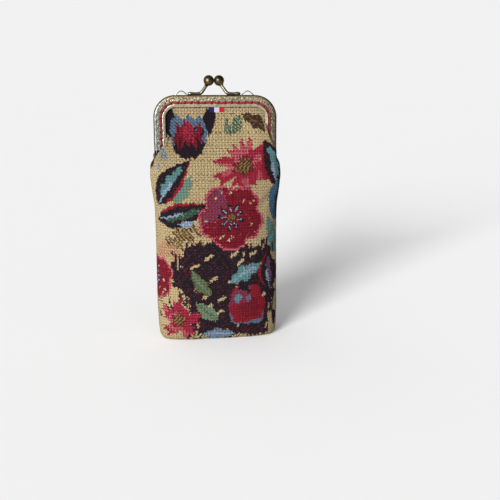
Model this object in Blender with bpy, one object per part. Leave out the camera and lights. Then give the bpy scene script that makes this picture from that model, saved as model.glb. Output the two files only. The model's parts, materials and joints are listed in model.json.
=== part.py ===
"""A soft glasses case: a padded fabric pouch sewn into a brass clasp frame that hinges open.

The case stands on its base with +Z up. Its front faces -Y, and +X is to the right as the front is seen.
The origin is the middle of the base, on the table. Lengths are in metres.
"""

import math

import bmesh
import bpy
from mathutils import Vector

# Driving dimensions
FRAME_WIDTH = 0.085
FRAME_TOP = 0.172
FRAME_CORNER = 0.0153
FRAME_FACE = 0.0085
FRAME_DEPTH = 0.005
SHEET = 0.0006
REAR_LIP = 0.0042
EDGE_ROUND = 0.0014
HINGE_HEIGHT = 0.131
OPEN_CLEARANCE = 0.0003
HALF_GAP = 0.00015
WELD = 0.00005

HALF_WIDTH = FRAME_WIDTH / 2
LEG_END = HINGE_HEIGHT + 0.004
EAR_RADIUS = 0.003
EAR_NECK_TOP = LEG_END + 0.0016
EAR_NECK_DEEP = 0.0045
EAR_NECK_SHALLOW = 0.0004
RIVET_RADIUS = 0.001
RIVET_HEAD_RADIUS = 0.002
RIVET_HEAD = 0.0006
RIVET_HOLE_RADIUS = RIVET_RADIUS + OPEN_CLEARANCE

# The row of stitches that holds the fabric in the frame
STITCH_INSET = 0.0055
STITCH_END = HINGE_HEIGHT + 0.007
STITCH_COUNT = 27
STITCH_HOLE_RADIUS = 0.001
THREAD_RADIUS = 0.00055
HOLE_SIDES = 8
THREAD_SIDES = 5

# Fabric, as distances from the closed case's middle plane inside the frame
TONGUE_INSET = 0.0031
TONGUE_END = HINGE_HEIGHT + 0.001
FABRIC = 0.001
PADDING = 0.002
LINING = 0.0006
FABRIC_FRONT = 0.0034
LINING_FRONT = FABRIC_FRONT - FABRIC - OPEN_CLEARANCE
POUCH_RIM = 0.1275

# The pouch's side view and front view: height, half width, half depth, squareness of its plan
POUCH_LEVELS = (
    (POUCH_RIM, 0.0452, 0.0080, 2.1),
    (0.1195, 0.0468, 0.0105, 2.2),
    (0.1110, 0.0460, 0.0126, 2.3),
    (0.0980, 0.0442, 0.0146, 2.4),
    (0.0780, 0.0436, 0.0162, 2.5),
    (0.0450, 0.0435, 0.0168, 2.7),
    (0.0160, 0.0434, 0.0165, 3.0),
    (0.0070, 0.0425, 0.0158, 3.0),
    (0.0022, 0.0408, 0.0146, 3.0),
    (0.0000, 0.0380, 0.0130, 3.0),
)
POUCH_COLUMNS = 14
BASE_BLEND = 0.012

# The clasp: two balls side by side on bent arms
BALL_RADIUS = 0.0035
BALL_HEIGHT = FRAME_TOP + 0.0097
BALL_CROSSING = 0.0010
BALL_OFFSET = BALL_RADIUS + OPEN_CLEARANCE / 2
BALL_SHIFT = -0.0003
ARM_WIDTH = 0.0026
ARM_THICKNESS = 0.0019
ARM_FOOT_END = 0.0180
ARM_BEND = 0.0098
ARM_NECK = 0.0054
ARM_NECK_DROP = 0.0033
SOCKET_RADIUS = 0.0013
PEG_RADIUS = 0.0009
ARM_SIDES = 8
# The arm from its foot's far end: distance from the middle, share of the seat's depth, height above the foot
ARM_PATH = (
    (ARM_FOOT_END, 1.0, 0.0),
    (ARM_BEND + 0.0012, 1.0, 0.0),
    (ARM_BEND, 1.0, 0.0002),
    (ARM_BEND - 0.0010, 0.92, 0.0011),
)
# The same for its upper end, with the height below the neck
NECK_PATH = (
    (ARM_NECK + 0.0016, 0.45, 0.0030),
    (ARM_NECK + 0.0003, 0.1, 0.0006),
)

# The wire loops on the back half's top
LOOP_MIDDLE = 0.0230
LOOP_HALF_SPAN = 0.0042
LOOP_HEIGHT = 0.0030
LOOP_FOOT_SHARE = 0.12
LOOP_WIRE = 0.0005
LOOP_DEPTH = 0.0026

# The woven ribbon tab
TAB_MIDDLE = 0.0013
TAB_WIDTH = 0.0105
TAB_DROP = 0.0044
TAB_TUCK = 0.0020
TAB_THICKNESS = 0.0004
TAB_FRONT = FABRIC_FRONT + OPEN_CLEARANCE + TAB_THICKNESS

FRONT, BACK = -1, 1
SIDE_NAMES = {FRONT: "front", BACK: "back"}


def clear_scene():
    for obj in list(bpy.data.objects):
        bpy.data.objects.remove(obj)


def material(name, colour, roughness, metallic=0.0):
    made = bpy.data.materials.get(name)
    if made:
        return made
    made = bpy.data.materials.new(name)
    made.use_nodes = True
    shader = made.node_tree.nodes["Principled BSDF"]
    shader.inputs["Base Color"].default_value = (*colour, 1.0)
    shader.inputs["Roughness"].default_value = roughness
    shader.inputs["Metallic"].default_value = metallic
    return made


def frame_brass():
    return material("frame_brass", (0.44, 0.38, 0.24), 0.42, 1.0)


def clasp_brass():
    return material("clasp_brass", (0.30, 0.25, 0.15), 0.30, 1.0)


def tapestry():
    return material("tapestry", (0.62, 0.50, 0.32), 0.95)


def lining_cloth():
    return material("lining_cloth", (0.10, 0.09, 0.10), 0.95)


def padding_felt():
    return material("padding_felt", (0.80, 0.79, 0.76), 1.0)


def red_thread():
    return material("red_thread", (0.45, 0.03, 0.06), 0.7)


def ribbon():
    return material("ribbon", (0.75, 0.75, 0.78), 0.8)


def finish_mesh(name, mesh_builder, finish, smooth_angle=40):
    """Links a bmesh as an object, with its faces turned out and its round parts smooth."""
    bmesh.ops.recalc_face_normals(mesh_builder, faces=mesh_builder.faces)
    mesh = bpy.data.meshes.new(name)
    mesh_builder.to_mesh(mesh)
    mesh_builder.free()
    mesh.materials.append(finish)
    mesh.shade_smooth()
    mesh.set_sharp_from_angle(angle=math.radians(smooth_angle))
    obj = bpy.data.objects.new(name, mesh)
    bpy.context.scene.collection.objects.link(obj)
    return obj


def loft(rings):
    """A closed bmesh skin through rings of points. Every ring has the same number of points."""
    builder = bmesh.new()
    rows = [[builder.verts.new(point) for point in ring] for ring in rings]
    count = len(rings[0])
    for lower, upper in zip(rows, rows[1:]):
        for i in range(count):
            j = (i + 1) % count
            builder.faces.new((lower[i], lower[j], upper[j], upper[i]))
    builder.faces.new(rows[0])
    builder.faces.new(rows[-1])
    return builder


def extrude_outline(outline, low, high, place):
    """A plate: an outline of 2-D points carried from low to high. place(a, b, level) is a 3-D point."""
    return loft([[place(a, b, level) for a, b in outline] for level in (low, high)])


def boolean(obj, other, operation):
    """Applies a Boolean with a helper object, and removes the helper."""
    modifier = obj.modifiers.new("cut", "BOOLEAN")
    modifier.operation = operation
    modifier.object = other
    bpy.context.view_layer.update()
    graph = bpy.context.evaluated_depsgraph_get()
    result = bpy.data.meshes.new_from_object(obj.evaluated_get(graph), depsgraph=graph)
    obj.modifiers.remove(modifier)
    old = obj.data
    obj.data = result
    bpy.data.meshes.remove(old)
    bpy.data.objects.remove(other)


def rod(name, start, end, radius, finish, sides=10):
    """A straight round bar between two points."""
    along = (end - start).normalized()
    across = along.orthogonal().normalized()
    third = along.cross(across)
    ring = [
        (across * math.cos(turn) + third * math.sin(turn)) * radius
        for turn in (2 * math.pi * i / sides for i in range(sides))
    ]
    return finish_mesh(name, loft([[p + r for r in ring] for p in (start, end)]), finish)


def frame_outline(inset, leg_end, arc_steps=6):
    """Points (x, z) of the frame's arch, set in from its outer edge, each with its inward direction."""
    reach = HALF_WIDTH - FRAME_CORNER
    radius = FRAME_CORNER - inset
    middle = FRAME_TOP - FRAME_CORNER
    points = [((-HALF_WIDTH + inset, leg_end), (1.0, 0.0))]
    for side, first in ((-1, 180), (1, 90)):
        for step in range(arc_steps + 1):
            turn = math.radians(first - 90 * step / arc_steps)
            out = (math.cos(turn), math.sin(turn))
            at = (side * reach + radius * out[0], middle + radius * out[1])
            points.append((at, (-out[0], -out[1])))
    points.append(((HALF_WIDTH - inset, leg_end), (-1.0, 0.0)))
    return points


def stitch_path(distance):
    """The point (x, z) this far along the row of stitches, from the left leg's end."""
    radius = FRAME_CORNER - STITCH_INSET
    leg = FRAME_TOP - FRAME_CORNER - STITCH_END
    arc = radius * math.pi / 2
    top = FRAME_WIDTH - 2 * FRAME_CORNER
    reach = HALF_WIDTH - FRAME_CORNER
    if distance < leg:
        return -HALF_WIDTH + STITCH_INSET, STITCH_END + distance
    if distance < leg + arc:
        turn = math.pi - (distance - leg) / radius
        return -reach + radius * math.cos(turn), STITCH_END + leg + radius * math.sin(turn)
    if distance < leg + arc + top:
        return -reach + distance - leg - arc, FRAME_TOP - STITCH_INSET
    if distance < leg + 2 * arc + top:
        turn = math.pi / 2 - (distance - leg - arc - top) / radius
        return reach + radius * math.cos(turn), STITCH_END + leg + radius * math.sin(turn)
    return HALF_WIDTH - STITCH_INSET, STITCH_END + 2 * leg + 2 * arc + top - distance


def stitch_row_length():
    leg = FRAME_TOP - FRAME_CORNER - STITCH_END
    arc = (FRAME_CORNER - STITCH_INSET) * math.pi / 2
    return 2 * leg + 2 * arc + FRAME_WIDTH - 2 * FRAME_CORNER


def channel_section():
    """The frame sheet's section: distance in from the outer edge, and distance from the middle plane."""
    knee = FRAME_DEPTH - EDGE_ROUND
    inner_round = EDGE_ROUND - SHEET
    outer = [(0.0, HALF_GAP)]
    inner = []
    for turn in (180, 135, 90):
        across, up = math.cos(math.radians(turn)), math.sin(math.radians(turn))
        outer.append((EDGE_ROUND * (1 + across), knee + EDGE_ROUND * up))
        inner.append((EDGE_ROUND + inner_round * across, knee + inner_round * up))
    face = [(FRAME_FACE, FRAME_DEPTH), (FRAME_FACE, FRAME_DEPTH - SHEET)]
    lip = [
        (SHEET, HALF_GAP + SHEET),
        (REAR_LIP, HALF_GAP + SHEET),
        (REAR_LIP, HALF_GAP),
    ]
    return outer + face + inner[::-1] + lip


def frame_channel(side):
    section = channel_section()
    rings = []
    for (x, z), (inward_x, inward_z) in frame_outline(0.0, LEG_END):
        rings.append([(x + inward_x * u, side * v, z + inward_z * u) for u, v in section])
    return finish_mesh(f"{SIDE_NAMES[side]}_frame", loft(rings), frame_brass())


def ear_outline(side, round_steps=10):
    """The hinge ear in side view (y, z): a round end on the axis, and a neck up into the frame's leg."""
    points = [
        (-EAR_NECK_SHALLOW, EAR_NECK_TOP),
        (-EAR_NECK_DEEP, EAR_NECK_TOP),
        (-EAR_NECK_DEEP, LEG_END - 0.0008),
    ]
    for step in range(round_steps + 1):
        turn = math.radians(190 + 270 * step / round_steps)
        points.append((EAR_RADIUS * math.cos(turn), HINGE_HEIGHT + EAR_RADIUS * math.sin(turn)))
    return [(-side * y, z) for y, z in points]


def add_ears(frame, side):
    """Hinge ears on both legs. The front half's are in line with its legs, the back half's inside them."""
    outer = HALF_WIDTH - (WELD if side == FRONT else 2 * SHEET)
    for across in (-1, 1):
        plate = extrude_outline(
            ear_outline(side),
            across * (outer - SHEET + 2 * WELD),
            across * outer,
            lambda y, z, x: (x, y, z),
        )
        boolean(frame, finish_mesh("ear", plate, frame_brass()), "UNION")


def drill_rivet_holes(frame):
    reach = HALF_WIDTH + SHEET
    drill = rod(
        "drill",
        Vector((-reach, 0, HINGE_HEIGHT)),
        Vector((reach, 0, HINGE_HEIGHT)),
        RIVET_HOLE_RADIUS,
        frame_brass(),
    )
    boolean(frame, drill, "DIFFERENCE")


def stitch_hole_distances():
    pitch = stitch_row_length() / STITCH_COUNT
    return [pitch * i for i in range(STITCH_COUNT + 1)]


def punch_stitch_holes(frame, side):
    """Holes for the thread, through the frame's face only: the rear lip ends short of the stitch row."""
    near, far = FRAME_DEPTH - 2 * SHEET, FRAME_DEPTH + SHEET
    builder = bmesh.new()
    for distance in stitch_hole_distances():
        x, z = stitch_path(distance)
        ends = []
        for depth in (near, far):
            ring = []
            for i in range(HOLE_SIDES):
                turn = 2 * math.pi * (i + 0.5) / HOLE_SIDES
                corner = (
                    x + STITCH_HOLE_RADIUS * math.cos(turn),
                    side * depth,
                    z + STITCH_HOLE_RADIUS * math.sin(turn),
                )
                ring.append(builder.verts.new(corner))
            ends.append(ring)
            builder.faces.new(ring)
        for i in range(HOLE_SIDES):
            j = (i + 1) % HOLE_SIDES
            builder.faces.new((ends[0][i], ends[0][j], ends[1][j], ends[1][i]))
    boolean(frame, finish_mesh("punches", builder, frame_brass()), "DIFFERENCE")


def drill_loop_holes(frame):
    for across in (-1, 1):
        for step in (-1, 1):
            x = across * LOOP_MIDDLE + step * LOOP_HALF_SPAN
            drill = rod(
                "drill",
                Vector((x, LOOP_DEPTH, FRAME_TOP - 2 * SHEET)),
                Vector((x, LOOP_DEPTH, FRAME_TOP + SHEET)),
                LOOP_WIRE + OPEN_CLEARANCE,
                frame_brass(),
                sides=8,
            )
            boolean(frame, drill, "DIFFERENCE")


def frame_half(side):
    frame = frame_channel(side)
    add_ears(frame, side)
    drill_rivet_holes(frame)
    punch_stitch_holes(frame, side)
    if side == BACK:
        drill_loop_holes(frame)
    return frame


def turned(name, profile, axis_at, finish, sides=12):
    """A round piece about the X axis, from a profile of (x, radius) with its ends on the axis."""
    builder = bmesh.new()
    rings = []
    for x, radius in profile:
        if radius == 0:
            rings.append([builder.verts.new((x, axis_at[0], axis_at[1]))])
            continue
        ring = []
        for i in range(sides):
            turn = 2 * math.pi * i / sides
            y = axis_at[0] + radius * math.cos(turn)
            z = axis_at[1] + radius * math.sin(turn)
            ring.append(builder.verts.new((x, y, z)))
        rings.append(ring)
    for first, second in zip(rings, rings[1:]):
        for i in range(sides):
            j = (i + 1) % sides
            corners = [
                first[i % len(first)],
                first[j % len(first)],
                second[j % len(second)],
                second[i % len(second)],
            ]
            builder.faces.new(list(dict.fromkeys(corners)))
    return finish_mesh(name, builder, finish)


def hinge_rivet(across, name):
    """The rivet through both ears of one side: a shank with a domed head outside and a flat one inside."""
    shank_out = HALF_WIDTH + OPEN_CLEARANCE
    shank_in = HALF_WIDTH - 3 * SHEET - OPEN_CLEARANCE
    profile = (
        (shank_in - RIVET_HEAD, 0),
        (shank_in - RIVET_HEAD, RIVET_HEAD_RADIUS),
        (shank_in, RIVET_HEAD_RADIUS),
        (shank_in, RIVET_RADIUS),
        (shank_out, RIVET_RADIUS),
        (shank_out, RIVET_HEAD_RADIUS),
        (shank_out + RIVET_HEAD / 2, RIVET_HEAD_RADIUS * 0.9),
        (shank_out + RIVET_HEAD, RIVET_HEAD_RADIUS * 0.45),
        (shank_out + RIVET_HEAD, 0),
    )
    profile = [(across * x, radius) for x, radius in profile]
    return turned(name, profile, (0, HINGE_HEIGHT), clasp_brass())


def ball_middle(side):
    """The front half's ball is on the right and leans back. The back half's is the other way round."""
    across = -side
    return Vector((across * BALL_OFFSET + BALL_SHIFT, side * -BALL_CROSSING, BALL_HEIGHT))


def clasp_ball(side):
    """A ball with a blind socket for its arm's peg."""
    middle = ball_middle(side)
    builder = bmesh.new()
    bmesh.ops.create_uvsphere(builder, u_segments=16, v_segments=10, radius=BALL_RADIUS)
    bmesh.ops.translate(builder, verts=builder.verts, vec=middle)
    ball = finish_mesh(f"{SIDE_NAMES[side]}_clasp_ball", builder, clasp_brass())
    along = (arm_points(side)[-1] - middle).normalized()
    floor = middle + along * BALL_RADIUS * 0.25
    outside = middle + along * BALL_RADIUS * 1.5
    boolean(ball, rod("socket", floor, outside, SOCKET_RADIUS, clasp_brass(), ARM_SIDES), "DIFFERENCE")
    return ball


def arm_points(side):
    """The arm's centre line, from the far end of its foot on the frame's top to the neck below the ball."""
    across = -side
    foot = FRAME_TOP + OPEN_CLEARANCE + ARM_THICKNESS / 2
    neck = BALL_HEIGHT - ARM_NECK_DROP
    seat = side * FRAME_DEPTH / 2
    points = [(x, share, foot + rise) for x, share, rise in ARM_PATH]
    points += [(x, share, neck - drop) for x, share, drop in NECK_PATH]
    return [Vector((across * x + BALL_SHIFT, seat * share, z)) for x, share, z in points]


def clasp_arm(side):
    """A flat bar bent up from its foot, which lies along the frame's top, to a peg in the ball."""
    middle = ball_middle(side)
    points = arm_points(side)
    towards = (middle - points[-1]).normalized()
    peg_start = middle - towards * (BALL_RADIUS + OPEN_CLEARANCE)
    peg_end = middle - towards * BALL_RADIUS * 0.45
    line = points[:-1] + [peg_start - towards * 0.0004, peg_start, peg_end]
    sizes = [(ARM_WIDTH, ARM_THICKNESS)] * (len(points) - 2) + [
        (ARM_WIDTH * 0.86, ARM_THICKNESS),
        (ARM_WIDTH * 0.8, ARM_THICKNESS),
        (PEG_RADIUS * 2, PEG_RADIUS * 2),
        (PEG_RADIUS * 2, PEG_RADIUS * 2),
    ]
    rings = []
    for i, (point, (width, thick)) in enumerate(zip(line, sizes)):
        before, after = line[max(i - 1, 0)], line[min(i + 1, len(line) - 1)]
        along = (after - before).normalized()
        deep = Vector((0, 1, 0))
        deep = (deep - along * deep.dot(along)).normalized()
        up = along.cross(deep)
        ring = []
        for k in range(ARM_SIDES):
            turn = 2 * math.pi * (k + 0.5) / ARM_SIDES
            ring.append(point + deep * (width / 2 * math.cos(turn)) + up * (thick / 2 * math.sin(turn)))
        rings.append(ring)
    return finish_mesh(f"{SIDE_NAMES[side]}_clasp_arm", loft(rings), clasp_brass())


def chain_loop(across, name, arc_steps=8):
    """A wire arch whose ends go down through the frame's top wall."""
    middle = across * LOOP_MIDDLE
    foot = FRAME_TOP - SHEET - OPEN_CLEARANCE
    line = [Vector((middle - LOOP_HALF_SPAN, LOOP_DEPTH, foot))]
    for step in range(arc_steps + 1):
        share = -1 + 2 * step / arc_steps
        arch = math.cos(share * math.pi / 2) ** 0.9
        lift = LOOP_HEIGHT * (LOOP_FOOT_SHARE + (1 - LOOP_FOOT_SHARE) * arch)
        line.append(Vector((middle + share * LOOP_HALF_SPAN, LOOP_DEPTH, FRAME_TOP + lift - LOOP_WIRE)))
    line.append(Vector((middle + LOOP_HALF_SPAN, LOOP_DEPTH, foot)))
    return wire(name, line, LOOP_WIRE, 6, clasp_brass())


def wire(name, line, radius, sides, finish):
    """A round bar along a line that lies in a plane of constant depth."""
    rings = []
    for i, point in enumerate(line):
        before, after = line[max(i - 1, 0)], line[min(i + 1, len(line) - 1)]
        along = (after - before).normalized()
        deep = Vector((0, 1, 0))
        up = along.cross(deep).normalized()
        rings.append([
            point + (deep * math.cos(turn) + up * math.sin(turn)) * radius
            for turn in (2 * math.pi * k / sides for k in range(sides))
        ])
    return finish_mesh(name, loft(rings), finish)


def stitch_thread(side):
    """One thread along the frame's face that dips into each hole."""
    pitch = stitch_row_length() / STITCH_COUNT
    raised = FRAME_DEPTH + OPEN_CLEARANCE + THREAD_RADIUS
    dipped = FRAME_DEPTH - SHEET / 2
    shape = ((0.0, dipped), (0.2, raised), (0.5, raised), (0.8, raised))
    marks = [(hole + share, depth) for hole in range(STITCH_COUNT) for share, depth in shape]
    marks.append((STITCH_COUNT, dipped))
    rings = []
    for share, depth in marks:
        distance = share * pitch
        x, z = stitch_path(distance)
        ahead_x, ahead_z = stitch_path(min(distance + 0.0001, stitch_row_length()))
        behind_x, behind_z = stitch_path(max(distance - 0.0001, 0))
        along = Vector((ahead_x - behind_x, 0, ahead_z - behind_z)).normalized()
        across = along.cross(Vector((0, 1, 0)))
        ring = []
        for k in range(THREAD_SIDES):
            turn = 2 * math.pi * k / THREAD_SIDES
            offset = across * (THREAD_RADIUS * math.cos(turn))
            offset += Vector((0, THREAD_RADIUS * math.sin(turn), 0))
            ring.append(Vector((x, side * depth, z)) + offset)
        rings.append(ring)
    return finish_mesh(f"{SIDE_NAMES[side]}_stitch_thread", loft(rings), red_thread())


def ribbon_tab():
    top = FRAME_TOP - FRAME_FACE + TAB_TUCK
    bottom = FRAME_TOP - FRAME_FACE - TAB_DROP
    left, right = TAB_MIDDLE - TAB_WIDTH / 2, TAB_MIDDLE + TAB_WIDTH / 2
    outline = ((left, bottom), (right, bottom), (right, top), (left, top))
    back = -TAB_FRONT + TAB_THICKNESS
    plate = extrude_outline(outline, -TAB_FRONT, back, lambda x, z, y: (x, y, z))
    return finish_mesh("ribbon_tab", plate, ribbon())


def tongue(side, name, front, thickness, finish):
    """The flat top of a fabric layer, sewn into the frame."""
    outline = [point for point, _ in frame_outline(TONGUE_INSET, TONGUE_END, arc_steps=5)]
    back = side * (front - thickness)
    plate = extrude_outline(outline, side * front, back, lambda x, z, y: (x, y, z))
    return finish_mesh(name, plate, finish)


def half_ring(level, inset, side):
    """Half of the pouch's plan at one level, from the right seam round to the left seam."""
    height, half_width, half_depth, squareness = level
    half_width, half_depth = half_width - inset, max(half_depth - inset, 0)
    ring = []
    for i in range(POUCH_COLUMNS + 1):
        turn = math.pi * i / POUCH_COLUMNS
        across, deep = math.cos(turn), math.sin(turn)
        x = half_width * math.copysign(abs(across) ** (2 / squareness), across)
        y = side * (HALF_GAP + half_depth * abs(deep) ** (2 / squareness))
        ring.append((x, y, height))
    return ring


def layer_levels(base):
    """The pouch's levels for a layer whose base is this far above the table, ending at the base's seam."""
    floor_height, floor_width, floor_depth, squareness = POUCH_LEVELS[-1]
    raised = []
    for height, half_width, half_depth, square in POUCH_LEVELS:
        lift = base * max(0.0, 1 - height / BASE_BLEND)
        raised.append((height + lift, half_width, half_depth, square))
    return raised + [(base, floor_width, 0.0, squareness)]


def pouch_layer(side, name, inset, thickness, finish):
    """Half of one layer of the pouch: a wall with half of the base, open at the rim and at every seam."""
    builder = bmesh.new()
    grids = []
    for offset in (inset, inset + thickness):
        grid = []
        for level in layer_levels(offset):
            grid.append([builder.verts.new(point) for point in half_ring(level, offset, side)])
        grids.append(grid)
    outer, inner = grids
    last_row, last_column = len(outer) - 1, POUCH_COLUMNS
    for grid in grids:
        for row in range(last_row):
            for column in range(last_column):
                near, far = grid[row], grid[row + 1]
                builder.faces.new((near[column], near[column + 1], far[column + 1], far[column]))
    for row in (0, last_row):
        for column in range(last_column):
            builder.faces.new(
                (outer[row][column], outer[row][column + 1], inner[row][column + 1], inner[row][column])
            )
    for column in (0, last_column):
        for row in range(last_row):
            builder.faces.new(
                (outer[row][column], outer[row + 1][column], inner[row + 1][column], inner[row][column])
            )
    return finish_mesh(name, builder, finish)


def fabric_layers(side):
    """The case's front or back: outer fabric, padding and lining, sewn to the other side at the seams."""
    word = SIDE_NAMES[side]
    padding_inset = FABRIC + OPEN_CLEARANCE
    lining_inset = padding_inset + PADDING + OPEN_CLEARANCE
    tongue(side, f"{word}_fabric_upper", FABRIC_FRONT, FABRIC, tapestry())
    tongue(side, f"{word}_lining_upper", LINING_FRONT, LINING, lining_cloth())
    pouch_layer(side, f"{word}_fabric_lower", 0.0, FABRIC, tapestry())
    pouch_layer(side, f"{word}_padding", padding_inset, PADDING, padding_felt())
    pouch_layer(side, f"{word}_lining_lower", lining_inset, LINING, lining_cloth())


def main():
    clear_scene()
    for side in (FRONT, BACK):
        frame_half(side)
        clasp_arm(side)
        clasp_ball(side)
        stitch_thread(side)
        fabric_layers(side)
    hinge_rivet(-1, "left_hinge_rivet")
    hinge_rivet(1, "right_hinge_rivet")
    chain_loop(-1, "left_chain_loop")
    chain_loop(1, "right_chain_loop")
    ribbon_tab()


main()
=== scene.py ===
import json
import math

import bmesh
import bpy
import numpy as np
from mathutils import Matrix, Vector


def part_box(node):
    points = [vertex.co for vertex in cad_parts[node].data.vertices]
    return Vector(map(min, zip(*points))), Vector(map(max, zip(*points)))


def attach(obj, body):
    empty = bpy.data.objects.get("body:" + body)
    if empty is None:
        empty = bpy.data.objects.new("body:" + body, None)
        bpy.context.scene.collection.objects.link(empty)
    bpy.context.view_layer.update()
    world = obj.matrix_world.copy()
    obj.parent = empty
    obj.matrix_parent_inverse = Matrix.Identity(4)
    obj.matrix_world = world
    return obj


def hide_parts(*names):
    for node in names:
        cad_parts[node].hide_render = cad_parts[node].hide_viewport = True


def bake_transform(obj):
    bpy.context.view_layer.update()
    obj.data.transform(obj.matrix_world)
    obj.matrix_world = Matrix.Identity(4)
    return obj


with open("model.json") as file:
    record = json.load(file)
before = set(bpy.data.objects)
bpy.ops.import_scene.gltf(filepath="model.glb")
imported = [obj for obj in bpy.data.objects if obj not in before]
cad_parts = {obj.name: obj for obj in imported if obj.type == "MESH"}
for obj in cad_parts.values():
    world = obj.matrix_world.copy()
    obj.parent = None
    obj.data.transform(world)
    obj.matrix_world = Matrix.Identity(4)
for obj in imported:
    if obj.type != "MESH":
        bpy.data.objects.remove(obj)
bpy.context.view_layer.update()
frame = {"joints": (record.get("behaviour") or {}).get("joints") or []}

FRONT, BACK = -1, 1
LEFT, RIGHT = -1, 1
WORDS = {FRONT: "front", BACK: "back"}
EDGE_WORDS = {LEFT: "left", RIGHT: "right"}

# Sizes in metres. The first few come from the frame.
HALF_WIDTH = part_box("front_frame")[1].x
FRAME_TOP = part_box("front_frame")[1].z
FRAME_DEPTH = -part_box("front_frame")[0].y
HINGE_HEIGHT = frame["joints"][0]["pos_m"][2]
TONGUE_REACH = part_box("front_fabric_upper")[1].x
TONGUE_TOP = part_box("front_fabric_upper")[1].z
TONGUE_DEPTH = -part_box("front_fabric_upper")[0].y
LINING_DEPTH = -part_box("front_lining_upper")[0].y
BALL_HEIGHT = (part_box("front_clasp_ball")[0].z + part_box("front_clasp_ball")[1].z) / 2
TAB_LOW, TAB_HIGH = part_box("ribbon_tab")
MM = 0.001

# The frame's sheet, and its embossed band between the outer edge and the stitches
CORNER = 15.3 * MM
FACE = 8.1 * MM
SHEET = 0.6 * MM
EDGE_ROUND = 1.4 * MM
REAR_LIP = 4.2 * MM
HALF_GAP = 0.15 * MM
LEG_END = HINGE_HEIGHT + 4.0 * MM
EAR_RADIUS = 3.0 * MM
BAND_STEP = 0.25 * MM
ARCH_STEPS = 460
STITCH_INSET = 5.1 * MM
STITCH_END = HINGE_HEIGHT + 7.0 * MM
STITCHES = 27
HOLE_RADIUS = 0.75 * MM
HOLE_DEPTH = 0.42 * MM

# The cloth, in threads and layers
THREAD = 0.7 * MM
HALF_COLUMNS = 82
EVEN_COLUMNS = 40
ROW_STEP = 0.65 * MM
BASE_ROWS = 19
CLOTH = 0.9 * MM
RELIEF = 0.04 * MM
PADDING = 2.0 * MM
LINING = 0.6 * MM
LAYER_GAP = 0.25 * MM
PADDING_TOP = 118 * MM

# The thread, the clasp, the wire loops, the rivets and the tab
PLY = 0.40 * MM
PLY_APART = 0.21 * MM
PLY_TURNS = 2.5
THREAD_WANDER = 0.22 * MM
STITCH_POINTS = 18
THREAD_SIDES = 10
TURNED_SIDES = 40
BALL = 3.6 * MM
BALL_SHIFT = -0.65 * MM
LOOP_MIDDLE = 23.0 * MM
LOOP_DEPTH = 2.6 * MM
WIRE = 0.36 * MM
SHANK = 1.0 * MM
RIVET_HEAD = 2.0 * MM
TAB_COLUMNS = 36
TAB_END = TAB_LOW.z + 1.3 * MM
TAB_SHIFT = -0.5 * MM
RIBBON = 0.13 * MM

# The studio's and the floor's shades, the light and the camera, in metres and radians
PAPER = 0.885
PAPER_ALBEDO = 0.84
FLOOR_HALF = 6.0
FLOOR_GAP = 0.2 * MM
SKY_SHARE = 0.48
SKY_LEAN = 0.75
KEY_RISE = math.radians(13.2)
KEY_SWING = math.radians(-35)
KEY_SOFTNESS = math.radians(25)
CAMERA_TURN = math.radians(5.5)
CAMERA_AWAY = 0.49
CAMERA_HEIGHT = 0.176
CAMERA_PITCH = math.radians(13.05)
CAMERA_ASIDE = math.radians(2.82)


# ---------------------------------------------------------------- small tools
def flow(t, knots, values):
    """A smooth curve through the values at their knots."""
    knots, values = np.asarray(knots, float), np.asarray(values, float)
    slopes = np.gradient(values, knots)
    i = np.clip(np.searchsorted(knots, t, side="right") - 1, 0, len(knots) - 2)
    step = knots[i + 1] - knots[i]
    s = np.clip((t - knots[i]) / step, 0, 1)
    ends = values[i] * (1 + 2 * s) * (1 - s) ** 2 + values[i + 1] * s * s * (3 - 2 * s)
    return ends + step * s * (1 - s) * (slopes[i] * (1 - s) - slopes[i + 1] * s)


def ease(low, high, t):
    """0 below low, 1 above high, and smooth between them."""
    s = np.clip((t - low) / (high - low), 0, 1)
    return s * s * (3 - 2 * s)


def scatter(numbers, seed):
    """A repeatable share from 0 to 1 for each whole number."""
    mixed = np.sin(numbers * 12.9898 + seed * 78.233) * 43758.5453
    return mixed - np.floor(mixed)


def soft_noise(x, z, size, seed):
    """Smooth noise from 0 to 1 with lumps about this size."""
    a, b = x / size, z / size
    i, j = np.floor(a), np.floor(b)
    s, t = a - i, b - j
    s, t = s * s * (3 - 2 * s), t * t * (3 - 2 * t)
    corner = [[scatter(i + di + 57 * (j + dj), seed) for di in (0, 1)] for dj in (0, 1)]
    low = corner[0][0] * (1 - s) + corner[0][1] * s
    high = corner[1][0] * (1 - s) + corner[1][1] * s
    return low * (1 - t) + high * t


def make_object(name, points, faces, finish, smooth_angle=50):
    """An object from points and faces, with its faces turned outwards."""
    mesh = bpy.data.meshes.new(name)
    mesh.from_pydata([tuple(p) for p in points], [], [tuple(f) for f in faces])
    builder = bmesh.new()
    builder.from_mesh(mesh)
    bmesh.ops.recalc_face_normals(builder, faces=builder.faces)
    builder.to_mesh(mesh)
    builder.free()
    mesh.shade_smooth()
    mesh.set_sharp_from_angle(angle=math.radians(smooth_angle))
    mesh.materials.append(finish)
    made = bpy.data.objects.new(name, mesh)
    bpy.context.scene.collection.objects.link(made)
    return made


def paint(obj, name, values, domain):
    """Stores one number for each point or face, for the material to read."""
    layer = obj.data.attributes.new(name, "FLOAT", domain)
    layer.data.foreach_set("value", np.asarray(values, np.float32).ravel())


def map_corners(obj, places):
    """Gives each point its place in the UV map called threads."""
    corner_points = np.zeros(len(obj.data.loops), np.int32)
    obj.data.loops.foreach_get("vertex_index", corner_points)
    layer = obj.data.uv_layers.new(name="threads")
    layer.data.foreach_set("uv", np.asarray(places, np.float32)[corner_points].ravel())


def grid_quads(numbers):
    """Four corners for each square of a grid of point numbers."""
    corners = (numbers[:-1, :-1], numbers[:-1, 1:], numbers[1:, 1:], numbers[1:, :-1])
    return np.stack(corners, axis=-1).reshape(-1, 4)


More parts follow.
